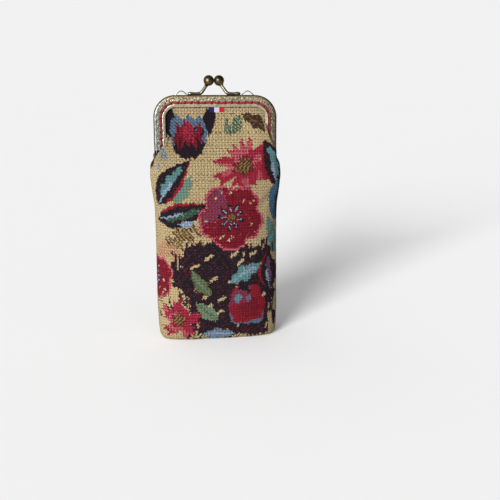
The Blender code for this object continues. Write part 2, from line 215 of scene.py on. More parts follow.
def tube_faces(rings, sides):
    """Faces of a tube made of rings of points, with a flat face over each end."""
    numbers = np.arange(rings * sides).reshape(rings, sides)
    closed = np.concatenate([numbers, numbers[:, :1]], axis=1)
    return grid_quads(closed).tolist() + [numbers[0].tolist(), numbers[-1].tolist()]


def ring(middle, aside, width, deep, depth, sides):
    """Points of an oval about a middle, from its two directions and half sizes."""
    turns = [2 * math.pi * k / sides for k in range(sides)]
    return [middle + aside * (width * math.cos(t)) + deep * (depth * math.sin(t)) for t in turns]


def closed_sheet(name, outer, inner, finish):
    """A sheet with thickness, from grids of points on its two sides, and its grid as a UV map."""
    rows, columns = outer.shape[:2]
    count = rows * columns
    numbers = np.arange(count).reshape(rows, columns)
    border = np.concatenate([numbers[0, :-1], numbers[:-1, -1], numbers[-1, :0:-1], numbers[:0:-1, 0]])
    after = np.roll(border, -1)
    rim = np.stack([border, border + count, after + count, after], axis=-1)
    faces = np.concatenate([grid_quads(numbers), grid_quads(numbers + count)[:, ::-1], rim])
    points = np.concatenate([outer.reshape(-1, 3), inner.reshape(-1, 3)])
    sheet = make_object(name, points, faces.tolist(), finish)
    row, column = np.divmod(np.arange(count), columns)
    map_corners(sheet, np.tile(np.stack([column, row], axis=-1), (2, 1)))
    return sheet


def bar(line, widths, depths=None, sides=16):
    """Points and faces of a bar along a line, with its half width and half depth at each point."""
    line = [Vector(p) for p in line]
    widths = np.broadcast_to(widths, len(line))
    depths = widths if depths is None else np.broadcast_to(depths, len(line))
    points, deep = [], Vector((0, 1, 0))
    for i, point in enumerate(line):
        along = (line[min(i + 1, len(line) - 1)] - line[max(i - 1, 0)]).normalized()
        deep = (deep - along * deep.dot(along)).normalized()
        points += ring(point, along.cross(deep), widths[i], deep, depths[i], sides)
    return points, tube_faces(len(line), sides)


def turned(profile, start, along):
    """Points and faces of a turned piece: distances along its axis from the start, and radii."""
    along = Vector(along).normalized()
    side = along.orthogonal().normalized()
    other = along.cross(side)
    points = []
    for distance, radius in profile:
        points += ring(Vector(start) + along * distance, side, radius, other, radius, TURNED_SIDES)
    return points, tube_faces(len(profile), TURNED_SIDES)


def joined(parts):
    """Several pairs of points and faces as one."""
    points, faces = [], []
    for more_points, more_faces in parts:
        start = len(points)
        points.extend(more_points)
        faces.extend(tuple(n + start for n in face) for face in more_faces)
    return points, faces


def smooth_line(marks, steps):
    """A smooth line of points through the marks."""
    marks = np.array([tuple(m) for m in marks], float)
    run = np.concatenate([[0], np.cumsum(np.linalg.norm(np.diff(marks, axis=0), axis=1))])
    at = np.linspace(0, run[-1], steps)
    return np.stack([flow(at, run, marks[:, k]) for k in range(3)], axis=-1)


def hand_in(piece, body, slot, *nodes):
    """Makes a piece ride on its body and stand for its CAD nodes. The slot is not used."""
    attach(piece, body)
    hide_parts(*nodes)


# ---------------------------------------------------------------- materials
def srgb(colour):
    """A colour as seen on a screen, in the shader's linear numbers."""
    return tuple(((c + 0.055) / 1.055) ** 2.4 if c > 0.04045 else c / 12.92 for c in colour) + (1.0,)


def shades(places, colours):
    """Stops for a ramp, from places and colours as seen on a screen."""
    return [(place, srgb(colour)) for place, colour in zip(places, colours)]


def grey_of(level):
    return (level, level, level, 1.0)


def add_node(tree, kind, inputs=(), **settings):
    """A new node with its settings, and with its inputs set or linked."""
    made = tree.nodes.new(kind)
    for name, value in settings.items():
        setattr(made, name, value)
    for socket, value in dict(inputs).items():
        if isinstance(value, bpy.types.NodeSocket):
            tree.links.new(value, made.inputs[socket])
        else:
            made.inputs[socket].default_value = value
    return made


class Finish:
    """A node material, with short calls for the nodes that the pieces use."""

    def __init__(self, name, roughness=0.5, metallic=0.0, sheen=0.0, specular=0.5):
        self.material = bpy.data.materials.new(name)
        self.material.use_nodes = True
        self.tree = self.material.node_tree
        self.sockets = self.tree.nodes["Principled BSDF"].inputs
        names = ("Roughness", "Metallic", "Sheen Weight", "Specular IOR Level")
        for name, value in zip(names, (roughness, metallic, sheen, specular)):
            self.sockets[name].default_value = value

    def node(self, kind, inputs=(), **settings):
        return add_node(self.tree, kind, inputs, **settings)

    def math(self, operation, a, b=0.0, c=0.0):
        return self.node("ShaderNodeMath", {0: a, 1: b, 2: c}, operation=operation).outputs[0]

    def wave(self, value):
        """0 at each whole number, and 1 halfway between them."""
        return self.math("ABSOLUTE", self.math("SINE", self.math("MULTIPLY", value, math.pi)))

    def stored(self, name):
        return self.node("ShaderNodeAttribute", attribute_name=name).outputs["Fac"]

    def uv(self):
        """The two numbers of the threads map."""
        place = self.node("ShaderNodeUVMap", uv_map="threads").outputs[0]
        split = self.node("ShaderNodeSeparateXYZ", {0: place})
        return split.outputs[0], split.outputs[1]

    def noise(self, scale, detail):
        place = self.node("ShaderNodeTexCoord").outputs["Object"]
        made = self.node("ShaderNodeTexNoise", {"Vector": place, "Scale": scale, "Detail": detail})
        return made.outputs["Fac"]

    def ramp(self, value, stops, steps=False):
        made = self.node("ShaderNodeValToRGB", {0: value})
        made.color_ramp.interpolation = "CONSTANT" if steps else "LINEAR"
        elements = made.color_ramp.elements
        for position, colour in stops[1:-1]:
            elements.new(position).color = colour
        elements[0].position, elements[0].color = stops[0]
        elements[-1].position, elements[-1].color = stops[-1]
        return made.outputs[0]

    def mix(self, factor, a, b, blend="MIX"):
        inputs = {0: factor, 6: a, 7: b}
        return self.node("ShaderNodeMix", inputs, data_type="RGBA", blend_type=blend).outputs[2]

    def shaded(self, colour, shade):
        """A colour times a shade."""
        return self.mix(1.0, colour, shade, "MULTIPLY")

    def grey(self, value):
        """A number as a grey colour."""
        return self.node("ShaderNodeCombineColor", {0: value, 1: value, 2: value}).outputs[0]

    def bump(self, height, distance, strength):
        made = self.node("ShaderNodeBump", {"Height": height, "Distance": distance, "Strength": strength})
        self.tree.links.new(made.outputs[0], self.sockets["Normal"])

    def colour(self, value):
        self.tree.links.new(value, self.sockets["Base Color"])

    def roughness(self, value):
        self.tree.links.new(value, self.sockets["Roughness"])


def weave(finish, colour, low, spread, sunk_shade, distance, strength):
    """A plain weave of one thread a square, with painted shade: gaps painted as dark as low, uneven threads,
    and every third thread painted darker, as if lower.
    """
    u, v = finish.uv()
    column, row = finish.math("FLOOR", u), finish.math("FLOOR", v)
    odd = finish.math("FLOORED_MODULO", finish.math("ADD", column, row), 2.0)
    across, down = finish.wave(u), finish.wave(v)
    first = finish.math("MULTIPLY", odd, finish.math("SUBTRACT", across, down))
    height = finish.math("POWER", finish.math("ADD", down, first), 0.7)
    cell = finish.node("ShaderNodeCombineXYZ", {0: column, 1: row}).outputs[0]
    dye = finish.node("ShaderNodeTexWhiteNoise", {"Vector": cell}, noise_dimensions="2D").outputs[0]
    # Painted shade: darker in the gaps between threads, and darker again on every third column and row.
    gap_shade = finish.math("MULTIPLY_ADD", height, 1 - low, low)
    shade = finish.math("MULTIPLY", gap_shade, finish.math("MULTIPLY_ADD", dye, spread, 1 - spread / 2))
    for count in (column, row):
        third = finish.math("LESS_THAN", finish.math("FLOORED_MODULO", count, 3.0), 0.5)
        shade = finish.math("MULTIPLY", shade, finish.math("MULTIPLY_ADD", third, -sunk_shade, 1.0))
    finish.colour(finish.shaded(colour, finish.grey(shade)))
    finish.bump(height, distance, strength)
    return finish.material


def tapestry_cloth():
    finish = Finish("tapestry", roughness=0.9, specular=0.12)
    number = finish.math("MULTIPLY_ADD", finish.stored("yarn"), 1 / len(YARNS), 0.5 / len(YARNS))
    places = [i / len(YARNS) for i in range(len(YARNS))]
    yarn = finish.ramp(number, shades(places, YARNS.values()), steps=True)
    return weave(finish, yarn, 0.30, 0.24, 0.30, 0.3 * MM, 0.8)


def plain_cloth(name, colour):
    finish = Finish(name, roughness=0.85, sheen=0.1, specular=0.2)
    return weave(finish, srgb(colour), 0.55, 0.3, 0.0, 0.2 * MM, 0.6)


def felt(name, colour):
    finish = Finish(name, roughness=0.95, sheen=0.25)
    fibres = finish.noise(900, 6)
    pale = tuple(c * 1.25 for c in colour)
    finish.colour(finish.ramp(fibres, shades((0.3, 0.7), (colour, pale))))
    finish.bump(fibres, 0.3 * MM, 0.5)
    return finish.material


def frame_brass():
    """Embossed antique brass: pale where it is worn, dark in the hollows and along the outer edge. Painted
    light: the left leg is painted a paler silver, as if lit from the left, and the right leg is painted
    darker, as if in shade.
    """
    finish = Finish("frame_brass", roughness=0.4, metallic=1.0)
    worn = finish.stored("worn")
    mottle = finish.noise(620, 5)
    level = finish.math("MULTIPLY_ADD", mottle, 1.1, finish.math("SUBTRACT", worn, 0.58))
    places = (0.05, 0.36, 0.60, 0.95)
    brass = shades(places, ((0.24, 0.18, 0.12), (0.48, 0.42, 0.33), (0.65, 0.59, 0.50), (0.83, 0.79, 0.70)))
    painted_lit_silver = shades(places, ((0.19, 0.19, 0.17), (0.36, 0.36, 0.34), (0.48, 0.48, 0.45), (0.66, 0.66, 0.62)))
    # Painted light: the left leg is mixed towards a paler silver and the right leg is darkened, as a key
    # light from the left would light and shade them.
    place = finish.node("ShaderNodeTexCoord").outputs["Object"]
    across = finish.node("ShaderNodeSeparateXYZ", {0: place}).outputs[0]
    left = finish.math("MULTIPLY", across, -1 / HALF_WIDTH)
    wear_and_lit_side = finish.ramp(left, [(0.72, grey_of(0.0)), (0.95, grey_of(1.0))])
    tint = finish.mix(wear_and_lit_side, finish.ramp(level, brass), finish.ramp(level, painted_lit_silver))
    right = finish.math("MULTIPLY", left, -1.0)
    painted_shade_right = finish.ramp(right, [(0.70, grey_of(1.0)), (0.95, (0.46, 0.50, 0.52, 1))])
    finish.colour(finish.shaded(tint, painted_shade_right))
    finish.roughness(finish.math("MULTIPLY_ADD", level, -0.22, 0.52))
    finish.bump(finish.noise(1500, 3), 0.04 * MM, 0.4)
    return finish.material


def smooth_brass(name, blotch, tones):
    """Smooth old brass, worn paler in places."""
    finish = Finish(name, metallic=1.0)
    mottle = finish.noise(blotch, 4)
    finish.colour(finish.ramp(mottle, shades((0.32, 0.50, 0.68), tones)))
    finish.roughness(finish.math("MULTIPLY_ADD", mottle, -0.25, 0.50))
    finish.bump(finish.noise(700, 3), 0.03 * MM, 0.35)
    return finish.material


def red_thread():
    finish = Finish("red_thread", roughness=0.8, sheen=0.05, specular=0.2)
    dip = finish.stored("dip")
    fibre = finish.noise(2500, 2)
    # Painted shade: the thread is darkened where it dips into a hole.
    level = finish.math("MULTIPLY_ADD", fibre, 0.5, finish.math("MULTIPLY", dip, -0.9))
    reds = ((0.22, 0.02, 0.07), (0.41, 0.04, 0.11), (0.54, 0.08, 0.16))
    finish.colour(finish.ramp(level, shades((0.0, 0.2, 0.5), reds)))
    return finish.material


def ribbon_cloth():
    """Three plain woven stripes, with painted shade between the ribs."""
    finish = Finish("ribbon", roughness=0.8, specular=0.1)
    u, v = finish.uv()
    stripes = shades((0, 1 / 3, 2 / 3), ((0.06, 0.09, 0.29), (0.61, 0.60, 0.63), (0.57, 0.09, 0.13)))
    stripe = finish.ramp(finish.math("DIVIDE", u, TAB_COLUMNS), stripes, steps=True)
    rib_relief_and_shade = finish.wave(v)
    # Painted shade: each stripe is darkened to 0.75 between the ribs.
    finish.colour(finish.shaded(stripe, finish.grey(finish.math("MULTIPLY_ADD", rib_relief_and_shade, 0.25, 0.75))))
    finish.bump(rib_relief_and_shade, 0.15 * MM, 0.6)
    return finish.material


# ---------------------------------------------------------------- the tapestry's pattern
YARNS = {
    "straw": (0.60, 0.52, 0.38),
    "pale_straw": (0.63, 0.57, 0.43),
    "tan": (0.39, 0.27, 0.17),
    "aubergine": (0.085, 0.050, 0.075),
    "plum": (0.22, 0.12, 0.16),
    "crimson": (0.46, 0.06, 0.12),
    "wine": (0.32, 0.04, 0.10),
    "rose": (0.53, 0.14, 0.22),
    "pink": (0.62, 0.33, 0.34),
    "teal": (0.28, 0.43, 0.43),
    "blue": (0.20, 0.30, 0.40),
    "slate": (0.34, 0.40, 0.46),
    "mist": (0.48, 0.53, 0.61),
    "sage": (0.36, 0.43, 0.35),
    "olive": (0.29, 0.32, 0.21),
    "green": (0.17, 0.26, 0.19),
    "mauve": (0.34, 0.21, 0.30),
    "coral": (0.59, 0.33, 0.27),
    "umber": (0.20, 0.14, 0.11),
    "ochre": (0.47, 0.37, 0.19),
}
YARN_NUMBER = {name: number for number, name in enumerate(YARNS)}
WEAVES = {
    "plain": lambda column, row: (column + row) % 2 == 0,
    "twill": lambda column, row: (column + row) % 4 < 2,
    "back_twill": lambda column, row: (column - row) % 4 < 2,
    "ribs": lambda column, row: column % 2 == 0,
    "rows": lambda column, row: row % 2 == 0,
    "grid": lambda column, row: (column % 3 != 0) & (row % 3 != 0),
    "sparse": lambda column, row: (row % 3 == 0) & ((column + 2 * (row // 3)) % 5 == 0),
}


class Draft:
    """A weaver's draft: the yarn that shows on each square of the flat cloth. Places are in millimetres."""

    def __init__(self, x, z):
        self.column = np.round(x / THREAD).astype(int)
        self.row = np.round(z / THREAD).astype(int)
        self.x = x / MM + 1.1 * (scatter(self.row, 1) - 0.5)
        self.z = z / MM + 1.6 * (scatter(self.column, 2) - 0.5)
        self.yarn = np.zeros(x.shape, int)

    def lay(self, where, yarn, other=None, weave="plain"):
        """Lays one yarn over a place, or two in a weave."""
        self.yarn[where] = YARN_NUMBER[yarn]
        if other:
            shows = where & ~WEAVES[weave](self.column, self.row)
            self.yarn[shows] = YARN_NUMBER[other]

    def torn(self, size, seed):
        """Smooth noise about 0, to make an edge ragged."""
        return soft_noise(self.x, self.z, size, seed) - 0.5

    def away(self, centre, turn=0.0):
        """Distances from a centre, along a turned direction and to its left."""
        c, s = math.cos(math.radians(turn)), math.sin(math.radians(turn))
        dx, dz = self.x - centre[0], self.z - centre[1]
        return dx * c + dz * s, dz * c - dx * s

    def oval(self, centre, half_width, half_height, turn=0.0, power=2.0):
        """Below 1 inside an oval, 1 on its edge."""
        across, up = self.away(centre, turn)
        return (np.abs(across / half_width) ** power + np.abs(up / half_height) ** power) ** (1 / power)

    def blossom(self, centre, radius, petals, lobe, turn, rough, seed):
        """Below 1 inside a flower with round petals, and the angle about its centre."""
        dx, dz = self.away(centre)
        distance, angle = np.hypot(dx, dz), np.arctan2(dz, dx)
        edge = 1 - lobe + lobe * np.abs(np.cos((angle - math.radians(turn)) * petals / 2)) ** 0.7
        ragged = rough * (soft_noise(angle * 6, distance * 0 + 3, 1.0, seed) - 0.5)
        return distance / (radius * (edge + ragged)), angle

    def leaf(self, base, tip, width, bend):
        """How far along a leaf each place is, and its share of the way across: both within 1 on the leaf."""
        ax, az = tip[0] - base[0], tip[1] - base[1]
        length = math.hypot(ax, az)
        dx, dz = self.away(base)
        along = (dx * ax + dz * az) / length**2
        aside = (dz * ax - dx * az) / length
        aside = aside - bend * np.sin(np.pi * np.clip(along, 0, 1))
        half = width / 2 * np.sin(np.pi * np.clip(along, 0.001, 0.999) ** 0.8)
        across = np.where((along > 0) & (along < 1), aside / np.maximum(half, 1e-6), 9.0)
        return along, across

    def flecks(self, share, seed):
        """Single stitches, scattered."""
        return scatter(self.column + 1013 * self.row, seed) < share

    def dashes(self, turn, length, pitch, share, seed, width):
        """Short loose stitches, scattered over a staggered grid."""
        along, across = self.away((0, 0), turn)
        lane = np.floor(across / pitch)
        shifted = along + scatter(lane, seed) * pitch * 3
        cell = np.floor(shifted / (length * 1.7))
        here = shifted - cell * length * 1.7 < length
        chosen = scatter(cell + 31 * lane, seed + 1) < share
        thin = np.abs(across - (lane + 0.5) * pitch) < width / 2
        return here & chosen & thin


def ground(d):
    """Straw cloth with a dark binding stitch at every fourth thread, staggered from row to row."""
    d.lay(np.ones(d.x.shape, bool), "straw", "pale_straw")
    binding = (d.row % 2 == 0) & ((d.column + 2 * (d.row // 2 % 2)) % 4 == 0)
    d.lay(binding, "tan")


def dark_leaf(d, base, tip, width, bend, flip, heart="teal"):
    """A dark leaf with a coloured heart, a pale vein and one crimson edge."""
    along, across = d.leaf(base, tip, width, bend)
    inside = np.abs(across) < 1
    d.lay(inside, "aubergine")
    d.lay(inside & d.flecks(0.13, 7), "plum")
    d.lay(inside & (flip * across > 0.74) & (along > 0.15), "crimson")
    torn = 0.24 * d.torn(2.6, 17)
    middle = inside & (np.abs(flip * across + 0.10) < 0.30 + torn)
    d.lay(middle & (along > 0.2) & (along < 0.8), "slate", heart, "sparse")
    d.lay(inside & (np.abs(flip * across - 0.08 + torn) < 0.10) & (along < 0.5), "mist")


def light_leaf(d, base, tip, width, yarn, vein, bend=0.0):
    """A pale leaf with a wavy edge and slanting veins."""
    along, across = d.leaf(base, tip, width, bend)
    wavy = np.abs(across) < 0.86 + 0.14 * np.sin(along * 18)
    d.lay(wavy, yarn)
    ribs = np.abs(np.sin((along - np.abs(across) * 0.12) * 22)) < 0.22
    d.lay(wavy & ribs & (np.abs(across) < 0.7), vein)
    d.lay(wavy & (np.abs(across) < 0.12), vein)


def poppy(d, centre, radius, turn, seed):
    """An open flower with five petals, a pink rim and a dark eye with pale stamens."""
    edge, angle = d.blossom(centre, radius, 5, 0.20, turn, 0.10, seed)
    d.lay(edge < 1.0, "rose", "pink", "grid")
    d.lay(edge < 0.92, "crimson", "wine", "rows")
    petal = np.abs(np.cos((angle - math.radians(turn)) * 2.5))
    d.lay((edge < 0.92) & d.flecks(0.10, seed), "wine")
    d.lay((edge < 0.9) & (petal < 0.13) & (edge > 0.35), "wine")
    shade = (edge < 0.9) & (edge > 0.3) & (np.cos(angle - math.radians(turn + 100)) > 0.72)
    d.lay(shade, "mauve", "crimson", "back_twill")
    d.lay(d.dashes(60, 1.8, 4.6, 0.22, seed + 2, 1.0) & (edge < 0.9) & (edge > 0.45), "rose")
    d.lay(d.dashes(48, 1.9, 5.2, 0.24, seed + 8, 1.2) & (edge < 0.86) & (edge > 0.5), "pale_straw")
    rays = np.cos(angle * 9 + seed)
    d.lay((rays > 0.25) & (edge < 0.42) & (edge > 0.10), "aubergine")
    d.lay((rays > 0.86) & (edge < 0.36) & (edge > 0.16), "mist")
    d.lay(edge < 0.12, "ochre", "umber")


def daisy(d, centre, radius, petals, turn, seed):
    """A rose-red flower with many ragged petals and a hatched heart."""
    edge, _ = d.blossom(centre, radius, petals, 0.36, turn, 0.62, seed)
    d.lay(edge < 1.0, "crimson", "rose", "grid")
    d.lay((edge < 0.96) & (d.torn(5, seed + 4) > 0.05), "rose", "pink", "grid")
    d.lay(edge < 0.42, "crimson", "umber", "twill")
    d.lay(edge < 0.30, "umber", "ochre", "back_twill")


def tulip(d, centre, width, height, turn, seed):
    """A cup of pointed petals with a slate rim and a dark, torn foot."""
    cup = d.oval(centre, width / 2, height / 2, turn, 2.3)
    torn = soft_noise(d.x * 2.4, d.z * 0.5, 3, seed) - 0.5
    up = (d.z - centre[1]) / height + 0.10 * np.abs(np.sin((d.x - centre[0]) * 0.4))
    inside = (cup + 0.16 * torn < 1.0) & (up < 0.44)
    d.lay(inside, "slate", "blue", "twill")
    heart = cup + 0.3 * torn < 0.78
    d.lay(heart & (up < 0.30 + 0.3 * torn), "crimson", "wine", "rows")
    middle = np.abs(d.x - centre[0]) < width * 0.15 * (1 - ((d.z - centre[1]) / height) ** 2)
    d.lay(heart & middle & (up < 0.3) & (up > -0.1), "rose", "crimson", "twill")
    d.lay(heart & (np.abs(up + 0.5 * torn - 0.05) < 0.04), "aubergine")
    d.lay(inside & (up < -0.16 + 0.45 * torn), "plum", "aubergine", "sparse")


def bud(d, centre, width, height, seed):
    """A swelling bud with a dark cleft in its top, a mauve shoulder with pale lights, and a blue rim."""
    x, z = (d.x - centre[0]) / width, (d.z - centre[1]) / height
    torn = 0.20 * d.torn(3.0, seed)
    cup = d.oval(centre, width / 2, height / 2, 6, 2.4) + torn
    d.lay((cup > 0.8) & (cup < 1.10) & (z < -0.2), "blue", "slate")
    d.lay(cup < 1.0, "crimson")
    d.lay((cup < 1.0) & d.flecks(0.08, seed), "wine")
    d.lay(np.hypot(x - 0.04, z + 0.12) + torn < 0.28, "wine", "crimson", "ribs")
    shoulder = (cup < 0.94) & (z > 0.06 + torn) & (x < 0.14 + torn)
    d.lay(shoulder, "mauve", "crimson", "back_twill")
    d.lay(shoulder & (np.hypot(x + 0.26, z - 0.17) < 0.11), "slate", "teal")
    d.lay(shoulder & (np.hypot(x - 0.02, z - 0.14) < 0.08), "slate", "mauve")
    d.lay((cup < 1.03) & (np.hypot(x + 0.06, (z - 0.47) * 0.8) + torn < 0.12), "aubergine")


def thicket(d, centre, half_width, half_height, seed):
    """Dark undergrowth with a torn edge and loose straw stitches."""
    edge = d.oval(centre, half_width, half_height, 0, 4)
    torn = d.torn(5.5, seed) + 0.7 * (scatter(d.column // 2, seed + 1) - 0.5)
    inside = edge + 0.36 * torn < 1.0
    d.lay(inside, "plum", "aubergine", "sparse")
    d.lay(inside & d.flecks(0.13, seed), "plum")
    d.lay(inside & d.flecks(0.025, seed + 3), "wine")
    d.lay(inside & d.dashes(32, 6.5, 7.5, 0.36, seed, 1.9), "pale_straw")
    d.lay(inside & d.dashes(78, 4.2, 7.0, 0.20, seed + 5, 1.4), "straw")
    d.lay(inside & d.dashes(40, 2.0, 3.2, 0.16, seed + 9, 0.8), "wine")


def grasses(d, centre, half_width, half_height, yarn, other, turn, seed):
    """A patch of slanting stitches."""
    patch = d.oval(centre, half_width, half_height, turn - 90, 2.6) < 1
    d.lay(patch & d.dashes(turn, 11.0, 2.6, 0.92, seed, 2.1), yarn, other, "twill")


def clearing(d, centre, half_width, turn, seed, line_seed):
    """A bare place in the undergrowth, with loose dark lines over the straw."""
    bare = d.oval(centre, half_width, 18, turn, 2.4) + 0.2 * soft_noise(d.x, d.z, 5, seed) < 1.04
    d.lay(bare, "straw", "pale_straw")
    lines = soft_noise(d.x, d.z, 6.5, line_seed) + 0.25 * soft_noise(d.x, d.z, 2.8, line_seed + 1)
    d.lay(bare & (np.abs(lines - 0.62) < 0.05), "aubergine")
    d.lay(bare & (np.abs(d.torn(5.0, line_seed + 3)) < 0.045), "plum")


def front_garden(d):
    # a tulip, a brown leaf, grasses and dark patches under the frame
    light_leaf(d, (37, 150), (17, 161), 10, "umber", "tan", -0.8)
    grasses(d, (12, 154), 6, 8, "sage", "green", 80, 4)
    d.lay(d.oval((-33, 157), 5.5, 11, 12) < 1, "aubergine")
    d.lay(d.oval((-5, 156), 4.5, 10, -14) < 1, "aubergine")
    tulip(d, (-19, 147), 25, 32, 5, 2)
    # the upper flower and the leaves at both sides
    daisy(d, (19, 125), 18, 9, 5, 6)
    dark_leaf(d, (44, 110), (33, 144), 18, -1.5, 1)
    d.lay(d.oval((45, 100), 8.0, 14) < 1, "slate", "blue", "sparse")
    d.lay(d.oval((49, 98), 6.0, 12) < 1, "aubergine")
    light_leaf(d, (-31, 100), (-17, 119), 12, "sage", "teal")
    dark_leaf(d, (-43, 98), (-18, 130), 17, 2.0, -1)
    grasses(d, (-40, 131), 6, 8, "mist", "slate", 84, 11)
    dark_leaf(d, (-44, 88), (-6, 99), 17, -1.5, 1, "green")
    # the middle
    grasses(d, (-23, 73), 13, 15, "umber", "ochre", 128, 7)
    grasses(d, (-37, 66), 8, 11, "coral", "straw", 116, 9)
    light_leaf(d, (-17, 86), (-28, 85), 5, "mist", "slate")
    light_leaf(d, (45, 62), (36, 90), 12, "teal", "sage")
    # the undergrowth, its clearing, and the flowers and leaves over them
    thicket(d, (5, 38), 39, 35, 5)
    clearing(d, (-33, 24), 14, 10, 21, 4)
    light_leaf(d, (-6, 34), (-20, 54), 10, "olive", "sage", 1.0)
    dark_leaf(d, (38, 36), (37, 66), 16, 1.5, 1, "mauve")
    poppy(d, (9, 90), 24, 50, 3)
    poppy(d, (-50, 47), 18, 100, 5)
    light_leaf(d, (8, 44), (31, 56), 12, "teal", "mist", 0.8)
    bud(d, (20, 27), 26, 29, 4)
    light_leaf(d, (-1, 16), (-17, 30), 11, "sage", "olive", 0.6)
    daisy(d, (-29, 17), 13, 5, 10, 8)
    light_leaf(d, (-12, 4), (12, 5), 11, "slate", "mist")


def back_garden(d):
    tulip(d, (-22, 146), 24, 32, 8, 5)
    light_leaf(d, (6, 164), (30, 152), 11, "umber", "tan", -0.8)
    dark_leaf(d, (44, 116), (14, 141), 15, 2.0, 1)
    poppy(d, (13, 110), 22, 60, 9)
    dark_leaf(d, (-44, 98), (-14, 122), 15, 2.0, -1)
    light_leaf(d, (-45, 90), (-22, 104), 10, "teal", "sage")
    d.lay(d.oval((45, 92), 10.0, 15) < 1, "slate", "blue", "sparse")
    grasses(d, (-24, 80), 12, 12, "umber", "ochre", 128, 7)
    daisy(d, (-14, 62), 18, 9, 5, 12)
    thicket(d, (6, 28), 40, 24, 15)
    clearing(d, (-30, 22), 15, 12, 27, 14)
    bud(d, (27, 56), 24, 28, 6)
    light_leaf(d, (3, 44), (22, 32), 12, "teal", "mist", 0.8)
    light_leaf(d, (36, 40), (46, 66), 11, "sage", "olive", 0.6)
    daisy(d, (-4, 22), 12, 5, 40, 18)
    poppy(d, (42, 16), 17, 10, 15)
    light_leaf(d, (-40, 10), (-20, 30), 11, "olive", "sage", 1.0)


def draft(side, x, z):
    """The yarn that shows on each square of the front or the back panel."""
    d = Draft(x, z)
    ground(d)
    garden = front_garden if side == FRONT else back_garden
    garden(d)
    return d.yarn


# ---------------------------------------------------------------- the pouch: cloth, padding and lining
# The paths are worked out in millimetres. Height, half width, half depth and squareness of the cloth's plan
BODY = np.array((
    (0.0, 39.8, 13.2, 3.8),
    (2.2, 41.5, 14.7, 3.8),
    (7.0, 42.6, 15.8, 3.7),
    (16.0, 43.2, 16.5, 3.4),
    (45.0, 43.5, 16.8, 2.7),
    (78.0, 43.4, 16.2, 2.5),
    (98.0, 44.0, 14.6, 2.4),
    (111.0, 45.8, 12.6, 2.35),
    (118.0, 46.4, 11.2, 2.4),
    (125.0, 45.6, 9.9, 2.7),
    (133.0, 44.2, 8.4, 3.2),
    (140.0, 43.6, 6.8, 3.4),
    (148.0, 43.0, 5.3, 3.4),
    (156.0, 43.0, 4.3, 3.4),
    (163.0, 43.0, 3.8, 3.4),
    (170.0, 43.0, 3.4, 3.4),
))
# Where the cloth laps over each leg: its height at the leg's outer edge and at the frame's inner edge
LAPS = {
    (FRONT, LEFT): (131.2, 142.8),
    (FRONT, RIGHT): (133.6, 152.4),
    (BACK, LEFT): (132.4, 146.0),
    (BACK, RIGHT): (132.8, 147.0),
}
# How far to the side the lap reaches at these shares of its height
LAP_SHARES = (0.2, 0.42, 0.7)
LAP_REACHES = (40.2, 38.1, 36.0)
# How far the side seams pull the cloth in, and from how far, and the share that the base seam pulls in
SEAM_PULL = 0.9
SEAM_REACH = 1.5
BASE_PULL = 0.035
# Where the cloth draws in under the front's left hinge
TUCK = 1.8
TUCK_HEIGHT = 125.5
TUCK_REACH = 2.8
# The side seam's half gap at each height, up to the hinge ear, and where the cloth leaves the bag's plan
SEAM_HEIGHTS = (121.0, 123, 126, 128.5)
SEAM_GAPS = (0.03, 0.7, 1.8, 2.6)
LEG_GAP = 5.35
BAG_TOP = 124.0
# The simulation that settles the cloth, on every fourth point
SETTLE_STEP = 4
SETTLE_FRAMES = 20
SETTLE_LIMIT = 1.8 * MM
HELD_ABOVE = (108 * MM, 120 * MM)
HELD_BELOW = (3 * MM, 1 * MM)
SETTLING = {
    "quality": 6,
    "mass": 0.002,
    "vertex_group_mass": "held",
    "use_pressure": True,
    "uniform_pressure_force": 4.0,
    "shrink_min": -0.004,
}
PATH_SAMPLES = 220


def body_at(height):
    return [flow(height, BODY[:, 0], BODY[:, k]) for k in (1, 2, 3)]


def even_path(across, deep, shares):
    """Points at these shares of the way along a path, and its length."""
    run = np.concatenate([[0], np.cumsum(np.hypot(np.diff(across), np.diff(deep)))])
    return np.interp(shares * run[-1], run, across), np.interp(shares * run[-1], run, deep), run[-1]


def between(path, other, share):
    """A path this share of the way from one to another."""
    return [a + (b - a) * share for a, b in zip(path, other)]


def round_path(width, depth, squareness, end_depth):
    """A quarter of a rounded plan, from the middle of the front to its side at the end depth."""
    end = math.asin(min(1, end_depth / depth) ** (squareness / 2))
    turn = np.linspace(math.pi / 2, end, PATH_SAMPLES)
    across = width * np.clip(np.cos(turn), 0, 1) ** (2 / squareness)
    deep = depth * np.clip(np.sin(turn), 0, 1) ** (2 / squareness)
    return across, deep


def lap_path(middle_depth, lap_depth, reach, end_depth, hem):
    """From the middle up over the frame's leg to a plump fold, with a hem turned back under it."""
    radius = (lap_depth - end_depth) / 2
    start = reach - radius
    across = np.linspace(0, start, PATH_SAMPLES)
    deep = middle_depth + (lap_depth - middle_depth) * ease(start - 19, start, across)
    turn = np.radians(np.linspace(85, -90, 40))
    across = np.concatenate([across, start + radius * np.cos(turn), [start - hem]])
    deep = np.concatenate([deep, lap_depth - radius + radius * np.sin(turn), [end_depth]])
    return across, deep


def tongue_path(middle_depth, reach):
    """Nearly flat, inside the frame."""
    across = np.linspace(0, reach, PATH_SAMPLES)
    edge_depth = TONGUE_DEPTH / MM
    return across, edge_depth + (middle_depth - edge_depth) * (1 - ease(18, 33, across))


def tongue_reach(height, lap_top):
    """How far the cloth goes to the side behind the frame's face, in millimetres."""
    reach, corner = TONGUE_REACH / MM, 12.2
    rise = np.clip(height - (TONGUE_TOP / MM - corner), 0, corner)
    arched = reach - corner + math.sqrt(max(corner**2 - rise**2, 0))
    inside_lip = (HALF_WIDTH - FACE) / MM - 0.5
    return min(arched, inside_lip + (reach - inside_lip) * ease(lap_top + 1.6, lap_top + 5, height))


